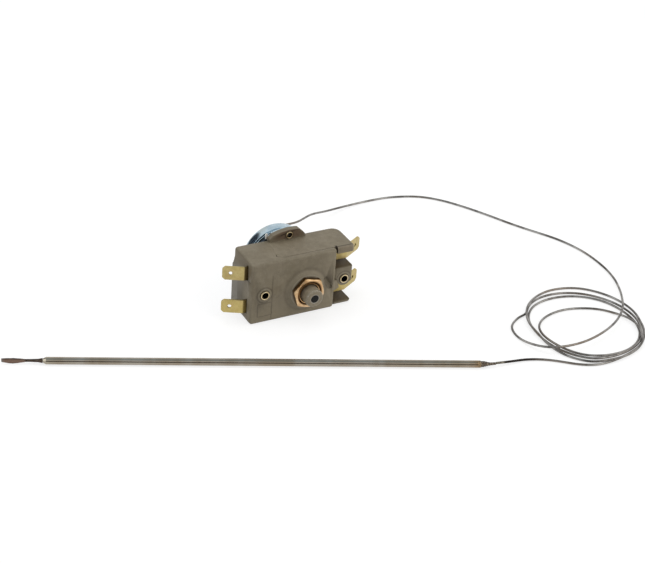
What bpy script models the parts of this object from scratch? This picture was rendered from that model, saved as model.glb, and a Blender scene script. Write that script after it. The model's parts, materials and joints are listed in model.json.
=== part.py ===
"""Temperature limiter with a manual reset, a capillary and a rod-shaped bulb. Metres, +Z up.

Every piece is modelled in the housing's own frame: X from its left wall to the right, Y from its
front face to the back, Z up from its underside. One empty moves that frame, so that the world
origin is the middle of the limiter's footprint, without the capillary and the bulb.
"""
import math

import bmesh
import bpy
from mathutils import Vector

# Housing block, made of a front housing and a rear base
BODY_WIDTH = 0.0482
BODY_DEPTH = 0.0178
BODY_HEIGHT = 0.0286
EDGE_ROUND = 0.0012
SIDE_WALL = 0.0022
FRONT_WALL = 0.0020
BACK_WALL = 0.0023
TOP_WALL = 0.0020
FLOOR_WALL = 0.0026
SEAT_GAP = 0.0002
LEFT_PAD_STEP = 0.0008
LEFT_PAD_DEPTH = 0.0045
LEFT_PAD_BELOW_TOP = 0.0041
WALL_SLIT_WIDTH = 0.00035
WALL_SLIT_DEPTH = 0.0007
WALL_SLIT_FRONT = 0.0006

# Parting seam between the front housing and the rear base
RIGHT_END_WIDTH = 0.0089
SEAM_BEND = (0.0155, FRONT_WALL)
SEAM_NOTCH = (0.0126, 0.0036)
SEAM_REAR_X = 0.0141
SEAM_REAR_Y = 0.0095

# Right end of the rear base: two terminal pockets with a block between them
SLIT_WIDTH = 0.0009
SLIT_DEPTH = 0.0026
RIGHT_FRONT = 0.0013
BACK_CORNER_ROUND = 0.0040
DIVIDER_WALL = 0.0021
POCKET_BACK_WALL = 0.0045
POCKET_FLOOR = 0.0013
POCKET_LIP_DEPTH = 0.0012
UPPER_LIP_HEIGHT = 0.0032
POCKET_ABOVE_LOWER_TAB = 0.0005
POCKET_BELOW_UPPER_TAB = 0.0019

# Ear above the back wall, drawn from the cup's axis and from the block's top
EAR_DEPTH = 0.0027
EAR_SHAPE = (
    (-0.0084, -0.0016), (-0.0092, 0.0032), (-0.0073, 0.0047), (-0.0037, 0.0053),
    (0.0003, 0.0054), (0.0047, 0.0046), (0.0075, 0.0014), (0.0079, -0.0016),
)
EAR_FOOT_INSET = 0.0004

# Bush, nut and reset button, all on one axis through the front face
BUSH_RIGHT_OF_MIDDLE = 0.0011
BUSH_Z = 0.0123
BUSH_RADIUS = 0.0050
BUSH_BORE = 0.00425
BUSH_FLANGE_RADIUS = 0.0065
BUSH_FLANGE_THICK = 0.0010
BUSH_END_WALL = 0.0017
BUSH_CHAMFER = 0.0003
BOSS_TOP_RADIUS = 0.00745
BOSS_HEIGHT = 0.0016
BOSS_CONE_RADIUS = 0.00855
BOSS_FILLET = 0.0006
BOSS_FOOT_RADIUS = 0.0103
GROOVE_TOP = (0.0050, 0.0154)
GROOVE_FOOT = (0.0022, 0.0106)
GROOVE_HALF_WIDTH = 0.0010
GROOVE_DEPTH = 0.0009
WEB_SHAPE = ((-0.0014, 0.0132), (0.0009, 0.0129), (0.0021, 0.0095), (0.0000, 0.0084), (-0.0014, 0.0084))
WEB_FRONT = 0.00015
NUT_ACROSS_FLATS = 0.0130
NUT_THICK = 0.0022
NUT_TURN = math.radians(44.0)
NUT_CHAMFER = 0.0005
BUTTON_RADIUS = 0.0040
BUTTON_PROUD = 0.0053
BUTTON_EDGE = 0.0004
BUTTON_SKIRT = 0.0028
BUTTON_WALL = 0.0007
BUTTON_POCKET = 0.0043
BUTTON_TRAVEL = 0.0025
BUTTON_ROD_RADIUS = 0.0012
PIN_RADIUS = 0.0016
PIN_LENGTH = 0.0017
PIN_SUNK = 0.0001
RUNNING_GAP = 0.00015
SPRING_WIRE = 0.0005
SPRING_RADIUS = 0.0023
SPRING_TURNS = 5

# Hollow rivets
RIVET_TUBE_RADIUS = 0.0016
RIVET_HOLE_RADIUS = 0.0012
RIVET_HEAD_RADIUS = 0.00205
RIVET_HEAD_HEIGHT = 0.0005
RIVET_BOSS_RADIUS = 0.0033
RIVET_PAD = 0.0003
RIVET_PILLAR_RADIUS = 0.0021
RIVET_LEFT_X = 0.0061
RIVET_LEFT_SHARE = 0.34375
RIVET_RIGHT_FROM_END = 0.0041
RIVET_RIGHT_ABOVE_TAB = 0.00235
RIVET_EAR_ABOVE_TOP = 0.0021
EAR_RIVET_SCALE = 0.78

# Blade terminals and the contacts behind them
TAB_HEIGHT = 0.0063
TAB_THICK = 0.0008
TAB_CHAMFER = 0.0011
TAB_HOLE_RADIUS = 0.0008
TAB_HOLE_FROM_TIP = 0.0035
TAB_UPPER_BELOW_TOP = 0.00555
TAB_LOWER_Z = 0.00715
TAB_LEFT_Y = 0.0045
TAB_LEFT_STRAIGHT = 0.0015
TAB_LEFT_LENGTH = 0.0090
TAB_LEFT_ANGLE = math.radians(27.5)
TAB_LEFT_INNER = 0.0100
TAB_RIGHT_Y = 0.0057
TAB_RIGHT_BEND_FROM_END = 0.0013
TAB_RIGHT_LENGTH = 0.0102
TAB_RIGHT_ANGLE = math.radians(31.0)
TAB_BEND_RADIUS = 0.0007
TAB_SLOT_GAP = 0.0003
JOG_FROM_DIVIDER = 0.0018
JOG_LENGTH = 0.0048
CONTACT_FROM_JOG = 0.0024
CONTACT_HEAD_RADIUS = 0.0015
CONTACT_HEAD = 0.0007
CONTACT_SHANK_RADIUS = 0.0008
CONTACT_UPSET_RADIUS = 0.0012
CONTACT_UPSET = 0.0004
BLADE_THICK = 0.0004
BLADE_HEIGHT = 0.0044
BLADE_LEFT_X = 0.0050
BLADE_PAST_CONTACT = 0.0015
BLADE_PIVOT_X = 0.0080

# Trip bridge, snap spring and calibration screw
TRIP_TRAVEL = 0.0010
BRIDGE_OFFSET = 0.0002
BRIDGE_WIDTH = 0.0044
BRIDGE_NOSE = 0.0021
BRIDGE_PLATE = 0.0016
BRIDGE_END_GAP = 0.0015
BRIDGE_TAIL_HEIGHT = 0.0070
BRIDGE_OVERHANG = 0.0002
GUIDE_RIB = 0.0010
GUIDE_RIB_DEPTH = 0.0036
SNAP_THICK = 0.0003
SNAP_HEIGHT = 0.0040
SNAP_RISE = 0.0014
SNAP_FROM_DIVIDER = 0.0027
SNAP_STOP = 0.0014
SCREW_RADIUS = 0.0015
SCREW_SLOT = 0.0005

# Steel frame, cup and diaphragm behind the housing
CUP_LEFT_OF_MIDDLE = 0.0002
CUP_Z = 0.0144
CUP_RADIUS = 0.0142
CUP_FRONT = 0.0224
CUP_BACK = 0.0300
SHEET = 0.0008
CUP_CORNER = 0.0014
CUP_LIP = 0.0005
FRAME_BEND = 0.0010
FRAME_LEG_OFFSET = 0.0110
FRAME_LEG_HALF = 0.0044
FRAME_TOP_OFFSET = 0.0100
FRAME_TOP_HALF = 0.0060
FOOT_END_MARGIN = 0.0025
CAPSULE_CLEARANCE = 0.0008
CAPSULE_THICK = 0.0024
CAPSULE_WAVE = 0.00025
CAPSULE_WAVES = 2
PUSHER_RADIUS = 0.0015
FERRULE_RADIUS = 0.0020
FERRULE_FLANGE = 0.0031
FERRULE_FLANGE_THICK = 0.0006
FERRULE_LENGTH = 0.0023

# Capillary, its coil and the bulb, all lying on the surface that the housing stands on
CAPILLARY_RADIUS = 0.0005
COIL_CENTRE = (0.1338, -0.0519)
COIL_OUTER = 0.0295
COIL_INNER = 0.0114
COIL_HEIGHT = 0.0022
LEAD_ROUTE = (
    (0.0239, 0.0333, 0.0144), (0.0239, 0.0370, 0.0144), (0.0262, 0.0430, 0.0142),
    (0.0325, 0.0486, 0.0137), (0.0405, 0.0518, 0.0127), (0.0484, 0.0549, 0.0110),
    (0.0619, 0.0655, 0.0070), (0.0733, 0.0716, 0.0035), (0.0859, 0.0764, 0.0012),
    (0.1006, 0.0782, 0.0006), (0.1120, 0.0776, 0.0006), (0.1253, 0.0732, 0.0006),
    (0.1335, 0.0663, 0.0006), (0.1403, 0.0570, 0.0006), (0.1471, 0.0453, 0.0006),
    (0.1528, 0.0343, 0.0006), (0.1580, 0.0255, 0.0006), (0.1625, 0.0185, 0.0006),
    (0.1663, 0.0115, 0.0006), (0.1702, -0.0012, 0.0006), (0.1707, -0.0168, 0.0006),
    (0.1686, -0.0271, 0.0007), (0.1660, -0.0328, 0.0012), (0.1626, -0.0389, 0.0022),
    (0.1596, -0.0435, 0.0030), (0.1558, -0.0493, 0.0031), (0.1488, -0.0561, 0.0031),
    (0.1418, -0.0606, 0.0031), (0.1331, -0.0642, 0.0030), (0.1234, -0.0666, 0.0030),
    (0.1157, -0.0670, 0.0031), (0.1113, -0.0664, 0.0031), (0.1066, -0.0649, 0.0030),
    (0.1038, -0.0617, 0.0023), (0.1017, -0.0566, 0.0012), (0.1005, -0.0511, 0.0006),
    (0.1012, -0.0451, 0.0006), (0.1033, -0.0414, 0.0006), (0.1060, -0.0395, 0.0006),
)
TAIL_ROUTE = (
    (0.1232, -0.0804, 0.0006), (0.1180, -0.0795, 0.0006), (0.1125, -0.0768, 0.0006),
    (0.1070, -0.0725, 0.0006), (0.1015, -0.0687, 0.0006), (0.0945, -0.0659, 0.0007),
    (0.0864, -0.0650, 0.0011), (0.0803, -0.0643, 0.0015),
)
LEAD_SAMPLES = 60
TAIL_SAMPLES = 13
BULB_RADIUS = 0.0015
BULB_LEFT = (-0.0874, 0.0052)
BULB_RIGHT = (0.0739, -0.0625)
BULB_TAPER = 0.0012
NECK_RADIUS = 0.0009
NECK_BEND = 0.0025
FILL_NECK_LENGTH = 0.0068
FILL_NECK_RADIUS = 0.0008
FILL_BLADE_LENGTH = 0.0092
FILL_BLADE_HALF_HEIGHT = 0.00145
FILL_BLADE_HALF_THICK = 0.00035

ROUND_STEPS = 32
FRONT = Vector((0.0, -1.0, 0.0))
MOULDINGS = ("front_housing", "rear_base")

# Places that follow from the sizes above
CAVITY_BACK = BODY_DEPTH - BACK_WALL
CAVITY_TOP = BODY_HEIGHT - TOP_WALL
COVER_WIDTH = BODY_WIDTH - RIGHT_END_WIDTH
POCKET_X = COVER_WIDTH + SLIT_WIDTH
POCKET_BACK = BODY_DEPTH - POCKET_BACK_WALL
CAVITY_RIGHT = POCKET_X - DIVIDER_WALL
BUSH_X = BODY_WIDTH / 2 + BUSH_RIGHT_OF_MIDDLE
CUP_X = BODY_WIDTH / 2 - CUP_LEFT_OF_MIDDLE
BRIDGE_X = CUP_X + BRIDGE_OFFSET
CAPSULE_RADIUS = CUP_RADIUS - SHEET - CAPSULE_CLEARANCE
TAB_UPPER_Z = BODY_HEIGHT - TAB_UPPER_BELOW_TOP
LOWER_TAB_TOP = TAB_LOWER_Z + TAB_HEIGHT / 2
UPPER_TAB_BOTTOM = TAB_UPPER_Z - TAB_HEIGHT / 2
BLOCK_BOTTOM = LOWER_TAB_TOP + POCKET_ABOVE_LOWER_TAB
BLOCK_TOP = UPPER_TAB_BOTTOM - POCKET_BELOW_UPPER_TAB
UPPER_LIP_BOTTOM = BODY_HEIGHT - UPPER_LIP_HEIGHT
EAR_OUTLINE = [(CUP_X + x, BODY_HEIGHT + z) for x, z in EAR_SHAPE]
GROOVE_ENDS = [(COVER_WIDTH - inset, z) for inset, z in (GROOVE_TOP, GROOVE_FOOT)]
WEB_OUTLINE = [(COVER_WIDTH + x, z) for x, z in WEB_SHAPE]
RIVET_LEFT = (RIVET_LEFT_X, LOWER_TAB_TOP + (UPPER_TAB_BOTTOM - LOWER_TAB_TOP) * RIVET_LEFT_SHARE)
RIVET_RIGHT = (BODY_WIDTH - RIVET_RIGHT_FROM_END, LOWER_TAB_TOP + RIVET_RIGHT_ABOVE_TAB)
RIVET_EAR = (CUP_X, BODY_HEIGHT + RIVET_EAR_ABOVE_TOP)
TAB_RIGHT_BEND_X = BODY_WIDTH - TAB_RIGHT_BEND_FROM_END
JOG_X = CAVITY_RIGHT - JOG_FROM_DIVIDER
JOG_INNER_X = JOG_X - JOG_LENGTH
CONTACT_X = JOG_X - CONTACT_FROM_JOG
BLADE_RIGHT_X = CONTACT_X + BLADE_PAST_CONTACT
SNAP_LEFT_X = BRIDGE_X + BRIDGE_WIDTH / 2 + GUIDE_RIB + 2 * SEAT_GAP
SNAP_RIGHT_X = CAVITY_RIGHT - SNAP_FROM_DIVIDER
SCREW_X = (SNAP_LEFT_X + SNAP_RIGHT_X) / 2
NUT_BACK = -BOSS_HEIGHT - SEAT_GAP
NUT_FRONT = NUT_BACK - NUT_THICK
BUSH_FRONT = NUT_FRONT + BUSH_CHAMFER / 2
BUTTON_FRONT = NUT_FRONT - BUTTON_PROUD
BUSH_FLANGE_FRONT = FRONT_WALL + SEAT_GAP
BUSH_BACK = BUSH_FLANGE_FRONT + BUSH_FLANGE_THICK
BUSH_FLOOR = BUSH_BACK - BUSH_END_WALL
FOOT_FRONT = BODY_DEPTH + SEAT_GAP
FOOT_BACK = FOOT_FRONT + SHEET
FERRULE_BACK = CUP_BACK + SEAT_GAP + FERRULE_FLANGE_THICK + FERRULE_LENGTH
BLADE_Y = TAB_LEFT_Y + TAB_THICK / 2 + SEAT_GAP + BLADE_THICK / 2
MOVING_BACK = BLADE_Y + BLADE_THICK / 2 + SEAT_GAP + CONTACT_HEAD
FIXED_FRONT = MOVING_BACK + SEAT_GAP
JOG_Y = FIXED_FRONT + CONTACT_HEAD + SEAT_GAP + TAB_THICK / 2
NOSE_FRONT = BLADE_Y + BLADE_THICK / 2 + SEAT_GAP
PLATE_FRONT = NOSE_FRONT + BRIDGE_NOSE
PLATE_BACK = PLATE_FRONT + BRIDGE_PLATE
BRIDGE_BACK = CAVITY_BACK - BRIDGE_END_GAP
ROD_END = PLATE_FRONT - TRIP_TRAVEL - BUTTON_TRAVEL - SEAT_GAP
LEFT_TIP_X = (-TAB_LEFT_STRAIGHT - TAB_LEFT_LENGTH * math.cos(TAB_LEFT_ANGLE)
              - TAB_THICK / 2 * math.sin(TAB_LEFT_ANGLE))
RIGHT_TIP_X = (TAB_RIGHT_BEND_X + TAB_RIGHT_LENGTH * math.cos(TAB_RIGHT_ANGLE)
               + TAB_THICK / 2 * math.sin(TAB_RIGHT_ANGLE))
ORIGIN_X = (LEFT_TIP_X + RIGHT_TIP_X) / 2
ORIGIN_Y = (BUTTON_FRONT + FERRULE_BACK) / 2


def clear_scene():
    for item in list(bpy.data.objects):
        bpy.data.objects.remove(item, do_unlink=True)


def new_collection(name):
    collection = bpy.data.collections.new(name)
    bpy.context.scene.collection.children.link(collection)
    return collection


def make_material(name, colour, roughness, metallic):
    material = bpy.data.materials.new(name)
    material.use_nodes = True
    shader = material.node_tree.nodes["Principled BSDF"]
    shader.inputs["Base Color"].default_value = (*colour, 1.0)
    shader.inputs["Roughness"].default_value = roughness
    shader.inputs["Metallic"].default_value = metallic
    return material


clear_scene()
PARTS = new_collection("limiter")
CUTTERS = new_collection("cutters")
HOUSING_FRAME = bpy.data.objects.new("housing_frame", None)
HOUSING_FRAME.location = (-ORIGIN_X, -ORIGIN_Y, 0.0)
PARTS.objects.link(HOUSING_FRAME)


def place(name, data, material=None, location=(0, 0, 0)):
    """A piece has a material and goes with the parts. A shape without one is a hidden cutter."""
    item = bpy.data.objects.new(name, data)
    item.location = location
    item.parent = HOUSING_FRAME
    if material:
        data.materials.append(material)
        PARTS.objects.link(item)
    else:
        item.hide_render = True
        item.display_type = "WIRE"
        CUTTERS.objects.link(item)
    return item


def joint_axis(name, location):
    """An empty on a joint's axis, for the pieces that move on it."""
    axis = bpy.data.objects.new(name, None)
    axis.location = location
    axis.parent = HOUSING_FRAME
    PARTS.objects.link(axis)
    return axis


def carry(axis, *items):
    """Each item, with the shapes that cut it, moves with the axis and stays where it was modelled."""
    for item in items:
        item.parent = axis
        item.location -= axis.location
        carry(axis, *[step.object for step in item.modifiers if step.type == "BOOLEAN"])


def smooth_shade(data, angle=35.0):
    """Round faces shade smooth, and edges past the angle stay sharp."""
    data.shade_smooth()
    data.set_sharp_from_angle(angle=math.radians(angle))


def mesh_from(name, builder):
    data = bpy.data.meshes.new(name)
    shape = bmesh.new()
    builder(shape)
    shape.to_mesh(data)
    shape.free()
    return data


def box(name, low, high, material=None, rounding=0.0):
    """A block between two corners, with its edges rounded by a Bevel where asked."""
    low, high = Vector(low), Vector(high)

    def build(shape):
        bmesh.ops.create_cube(shape, size=1.0)
        bmesh.ops.scale(shape, vec=high - low, verts=shape.verts)
        bmesh.ops.translate(shape, vec=(low + high) / 2, verts=shape.verts)

    item = place(name, mesh_from(name, build), material)
    if rounding:
        edge = item.modifiers.new("edges", "BEVEL")
        edge.width = rounding
        edge.segments = 3
    return item


def round_upright(item, corner, radius):
    """Rounds the one upright edge that stands at (x, y), before the block's other edges."""
    shape = bmesh.new()
    shape.from_mesh(item.data)
    corner = Vector(corner)
    upright = [edge for edge in shape.edges
               if all((vertex.co.xy - corner).length < SEAT_GAP for vertex in edge.verts)]
    bmesh.ops.bevel(shape, geom=upright, offset=radius, segments=5, profile=0.5, affect="EDGES")
    shape.to_mesh(item.data)
    shape.free()


def turned(name, profile, location, material=None, direction=FRONT, steps=ROUND_STEPS, closed=False):
    """A profile of (radius, height) from top to bottom, screwed round a line along direction."""
    data = bpy.data.meshes.new(name)
    points = [(radius, 0.0, height) for radius, height in profile]
    edges = [(i, i + 1) for i in range(len(points) - 1)]
    if closed:
        edges.append((len(points) - 1, 0))
    data.from_pydata(points, edges, [])
    item = place(name, data, material, location)
    item.rotation_euler = Vector(direction).to_track_quat("Z", "Y").to_euler()
    screw = item.modifiers.new("turn", "SCREW")
    screw.steps = steps
    screw.render_steps = steps
    screw.use_merge_vertices = True
    screw.merge_threshold = 0.00001
    if material:
        bpy.context.view_layer.update()
        evaluated = item.evaluated_get(bpy.context.evaluated_depsgraph_get())
        item.data = bpy.data.meshes.new_from_object(evaluated)
        item.modifiers.clear()
        smooth_shade(item.data)
    return item


def disc(name, centre, radius, y_front, y_back, material=None, steps=ROUND_STEPS):
    """A round bar along Y between two depths, centred on (x, z)."""
    profile = [(0.0, -y_front), (radius, -y_front), (radius, -y_back), (0.0, -y_back)]
    return turned(name, profile, (centre[0], 0.0, centre[1]), material, steps=steps)


def outline(name, points, low, high, across="Z", material=None):
    """A flat outline drawn as a 2D curve and extruded between low and high along one axis."""
    data = bpy.data.curves.new(name, "CURVE")
    data.dimensions = "2D"
    data.fill_mode = "BOTH"
    data.extrude = (high - low) / 2
    spline = data.splines.new("POLY")
    spline.points.add(len(points) - 1)
    for point, (first, second) in zip(spline.points, points):
        point.co = (first, second, 0.0, 1.0)
    spline.use_cyclic_u = True
    curve = bpy.data.objects.new(name + "_curve", data)
    CUTTERS.objects.link(curve)
    bpy.context.view_layer.update()
    evaluated = curve.evaluated_get(bpy.context.evaluated_depsgraph_get())
    mesh = bpy.data.meshes.new_from_object(evaluated)
    bpy.data.objects.remove(curve, do_unlink=True)

    middle = (low + high) / 2
    shape = bmesh.new()
    shape.from_mesh(mesh)
    bmesh.ops.remove_doubles(shape, verts=shape.verts, dist=0.000001)
    for vertex in shape.verts:
        x, y, depth = vertex.co
        vertex.co = (x, y, middle + depth) if across == "Z" else (x, middle - depth, y)
    shape.to_mesh(mesh)
    shape.free()
    return place(name, mesh, material)


def boolean(item, cutter, operation="DIFFERENCE"):
    """EXACT, but MANIFOLD on the two mouldings, where many flush faces leave EXACT's result open."""
    step = item.modifiers.new(cutter.name, "BOOLEAN")
    step.operation = operation
    step.solver = "MANIFOLD" if item.name in MOULDINGS else "EXACT"
    step.object = cutter


def corner_arc(before, corner, after, radius, steps=4):
    """Points of the arc that rounds one corner of a path."""
    before, corner, after = Vector(before), Vector(corner), Vector(after)
    inward, outward = (before - corner).normalized(), (after - corner).normalized()
    half = inward.angle(outward) / 2
    reach = radius / math.tan(half)
    centre = corner + (inward + outward).normalized() * radius / math.sin(half)
    start, end = corner + inward * reach - centre, corner + outward * reach - centre
    sweep = start.angle(end)
    arc = []
    for i in range(steps + 1):
        share = i / steps
        weight_start = math.sin((1 - share) * sweep) / math.sin(sweep)
        weight_end = math.sin(share * sweep) / math.sin(sweep)
        arc.append(centre + start * weight_start + end * weight_end)
    return arc


def bent_path(points, radius):
    """The path's points with each inner corner replaced by an arc."""
    path = [Vector(points[0])]
    for before, corner, after in zip(points, points[1:], points[2:]):
        path += corner_arc(before, corner, after, radius)
    return path + [Vector(points[-1])]


def long_hole(first, last, half_width, steps=8):
    """Outline of a slot with round ends between two points."""
    first, last = Vector(first), Vector(last)
    along = (last - first).normalized()
    turn = math.atan2(along.y, along.x)
    points = []
    for centre, start in ((last, turn - math.pi / 2), (first, turn + math.pi / 2)):
        for i in range(steps + 1):
            angle = start + math.pi * i / steps
            points.append((centre.x + half_width * math.cos(angle), centre.y + half_width * math.sin(angle)))
    return points


def strip(name, rows, thickness, material=None):
    """A bent sheet: each row has the two ends of one cross line, and Solidify gives the thickness."""
    def build(shape):
        pairs = [(shape.verts.new(first), shape.verts.new(second)) for first, second in rows]
        for (a, b), (c, d) in zip(pairs, pairs[1:]):
            shape.faces.new((a, b, d, c))
        bmesh.ops.recalc_face_normals(shape, faces=shape.faces)

    item = place(name, mesh_from(name, build), material)
    wall = item.modifiers.new("sheet", "SOLIDIFY")
    wall.thickness = thickness
    wall.offset = 0.0
    wall.use_even_offset = True
    return item


def smooth_route(points, samples):
    """Points spaced evenly along a centripetal Catmull-Rom curve through a route's own points."""
    route = [Vector(point) for point in points]
    route = [2 * route[0] - route[1]] + route + [2 * route[-1] - route[-2]]
    fine = []
    for p0, p1, p2, p3 in zip(route, route[1:], route[2:], route[3:]):
        t1 = (p1 - p0).length ** 0.5
        t2 = t1 + (p2 - p1).length ** 0.5
        t3 = t2 + (p3 - p2).length ** 0.5
        for i in range(20):
            t = t1 + (t2 - t1) * i / 20
            a1 = p0.lerp(p1, t / t1)
            a2 = p1.lerp(p2, (t - t1) / (t2 - t1))
            a3 = p2.lerp(p3, (t - t2) / (t3 - t2))
            b1 = a1.lerp(a2, t / t2)
            b2 = a2.lerp(a3, (t - t1) / (t3 - t1))
            fine.append(b1.lerp(b2, (t - t1) / (t2 - t1)))
    fine.append(route[-2])
    steps = [0.0]
    for first, second in zip(fine, fine[1:]):
        steps.append(steps[-1] + (second - first).length)
    even, index = [], 0
    for i in range(samples):
        goal = steps[-1] * i / (samples - 1)
        while index < len(steps) - 2 and steps[index + 1] < goal:
            index += 1
        share = (goal - steps[index]) / (steps[index + 1] - steps[index])
        even.append(fine[index].lerp(fine[index + 1], min(share, 1.0)))
    return even


def tube(name, points, radius, material):
    """A round wire or tube along the points, with filled ends."""
    data = bpy.data.curves.new(name, "CURVE")
    data.dimensions = "3D"
    data.bevel_depth = radius
    data.bevel_resolution = 2
    data.use_fill_caps = True
    spline = data.splines.new("POLY")
    spline.points.add(len(points) - 1)
    for point, place_of in zip(spline.points, points):
        point.co = (*place_of, 1.0)
    return place(name, data, material)


CERAMIC = make_material("moulded_body", (0.195, 0.168, 0.122), 0.62, 0.0)
BUTTON_PLASTIC = make_material("button_plastic", (0.200, 0.178, 0.135), 0.50, 0.0)
DARK_PIN = make_material("dark_pin", (0.020, 0.021, 0.020), 0.45, 0.0)
BRASS = make_material("brass", (0.640, 0.400, 0.150), 0.28, 1.0)
TAB_BRASS = make_material("terminal_brass", (0.560, 0.430, 0.150), 0.35, 1.0)
ZINC = make_material("zinc_steel", (0.420, 0.560, 0.660), 0.25, 1.0)
SPRING_STEEL = make_material("spring_steel", (0.450, 0.440, 0.420), 0.30, 1.0)
BRONZE = make_material("spring_bronze", (0.600, 0.330, 0.160), 0.35, 1.0)
SILVER = make_material("contact_silver", (0.750, 0.740, 0.720), 0.25, 1.0)
WHITE_CERAMIC = make_material("white_ceramic", (0.720, 0.690, 0.620), 0.55, 0.0)
CAPILLARY_METAL = make_material("capillary_metal", (0.300, 0.290, 0.280), 0.32, 1.0)
BULB_METAL = make_material("bulb_metal", (0.330, 0.310, 0.270), 0.30, 1.0)
BRAZE = make_material("braze", (0.210, 0.150, 0.080), 0.50, 1.0)


def rivet_bore(item, name, centre, scale=1.0):
    radius = RIVET_TUBE_RADIUS * scale + RUNNING_GAP
    boolean(item, disc(name, centre, radius, -BODY_DEPTH, 2 * BODY_DEPTH, steps=24))


def terminal_slots(item, side, low_x, high_x, y):
    half = TAB_THICK / 2 + TAB_SLOT_GAP
    for level, z in (("upper", TAB_UPPER_Z), ("lower", TAB_LOWER_Z)):
        reach = TAB_HEIGHT / 2 + TAB_SLOT_GAP
        slot = box(f"cut_slot_{side}_{level}", (low_x, y - half, z - reach), (high_x, y + half, z + reach))
        boolean(item, slot)


def front_housing():
    """Front plate with the conical boss, and the full-depth left end of the block."""
    far = 0.002
    body = box("front_housing", (0, 0, 0), (COVER_WIDTH, BODY_DEPTH, BODY_HEIGHT), CERAMIC, EDGE_ROUND)
    pad = box("add_left_pad", (-LEFT_PAD_STEP, BODY_DEPTH - LEFT_PAD_DEPTH, FLOOR_WALL),
              (SIDE_WALL, BODY_DEPTH - SEAT_GAP, BODY_HEIGHT - LEFT_PAD_BELOW_TOP), rounding=LEFT_PAD_STEP / 2)
    boolean(body, pad, "UNION")
    behind_seam = outline("cut_behind_seam", [
        (COVER_WIDTH + far, FRONT_WALL), (COVER_WIDTH + far, BODY_DEPTH + far),
        (SEAM_REAR_X, BODY_DEPTH + far), (SEAM_REAR_X, SEAM_REAR_Y), SEAM_NOTCH, SEAM_BEND,
    ], -far, BODY_HEIGHT + far)
    boolean(body, behind_seam)
    cavity = box("cut_front_cavity", (SIDE_WALL, FRONT_WALL, FLOOR_WALL),
                 ((SEAM_REAR_X + SEAM_BEND[0]) / 2, CAVITY_BACK, CAVITY_TOP))
    boolean(body, cavity)
    pillar = disc("add_left_pillar", RIVET_LEFT, RIVET_PILLAR_RADIUS, FRONT_WALL / 2,
                  BODY_DEPTH - BACK_WALL / 2)
    boolean(body, pillar, "UNION")
    fillet = []
    for i in range(3):
        share = i / 3
        radius = BOSS_CONE_RADIUS + (BOSS_FOOT_RADIUS - BOSS_CONE_RADIUS) * share
        fillet.append((radius, BOSS_FILLET * (1 - share) ** 2))
    boss = turned("add_bush_boss", [(0.0, BOSS_HEIGHT), (BOSS_TOP_RADIUS, BOSS_HEIGHT)] + fillet + [
        (BOSS_FOOT_RADIUS, 0.0), (BOSS_FOOT_RADIUS, -FRONT_WALL / 2), (0.0, -FRONT_WALL / 2),
    ], (BUSH_X, 0.0, BUSH_Z), steps=40)
    boolean(body, boss, "UNION")
    boolean(body, disc("add_rivet_pad", RIVET_LEFT, RIVET_BOSS_RADIUS, -RIVET_PAD, FRONT_WALL / 2), "UNION")
    boolean(body, outline("add_rivet_web", WEB_OUTLINE, WEB_FRONT, RIGHT_FRONT - SEAT_GAP, across="Y"), "UNION")
    boolean(body, outline("cut_front_groove", long_hole(*GROOVE_ENDS, GROOVE_HALF_WIDTH),
                          -BOSS_HEIGHT, GROOVE_DEPTH, across="Y"))
    slit_low, slit_high = UPPER_TAB_BOTTOM - WALL_SLIT_WIDTH / 2, UPPER_TAB_BOTTOM + WALL_SLIT_WIDTH / 2
    boolean(body, box("cut_wall_slit", (-far, WALL_SLIT_FRONT, slit_low),
                      (WALL_SLIT_DEPTH, TAB_LEFT_Y, slit_high)))
    bore = disc("cut_bush_bore", (BUSH_X, BUSH_Z), BUSH_RADIUS + SEAT_GAP, -2 * BOSS_HEIGHT, 2 * FRONT_WALL)
    boolean(body, bore)
    rivet_bore(body, "cut_left_rivet", RIVET_LEFT)
    terminal_slots(body, "left", -far, TAB_LEFT_INNER + TAB_SLOT_GAP, TAB_LEFT_Y)


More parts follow.
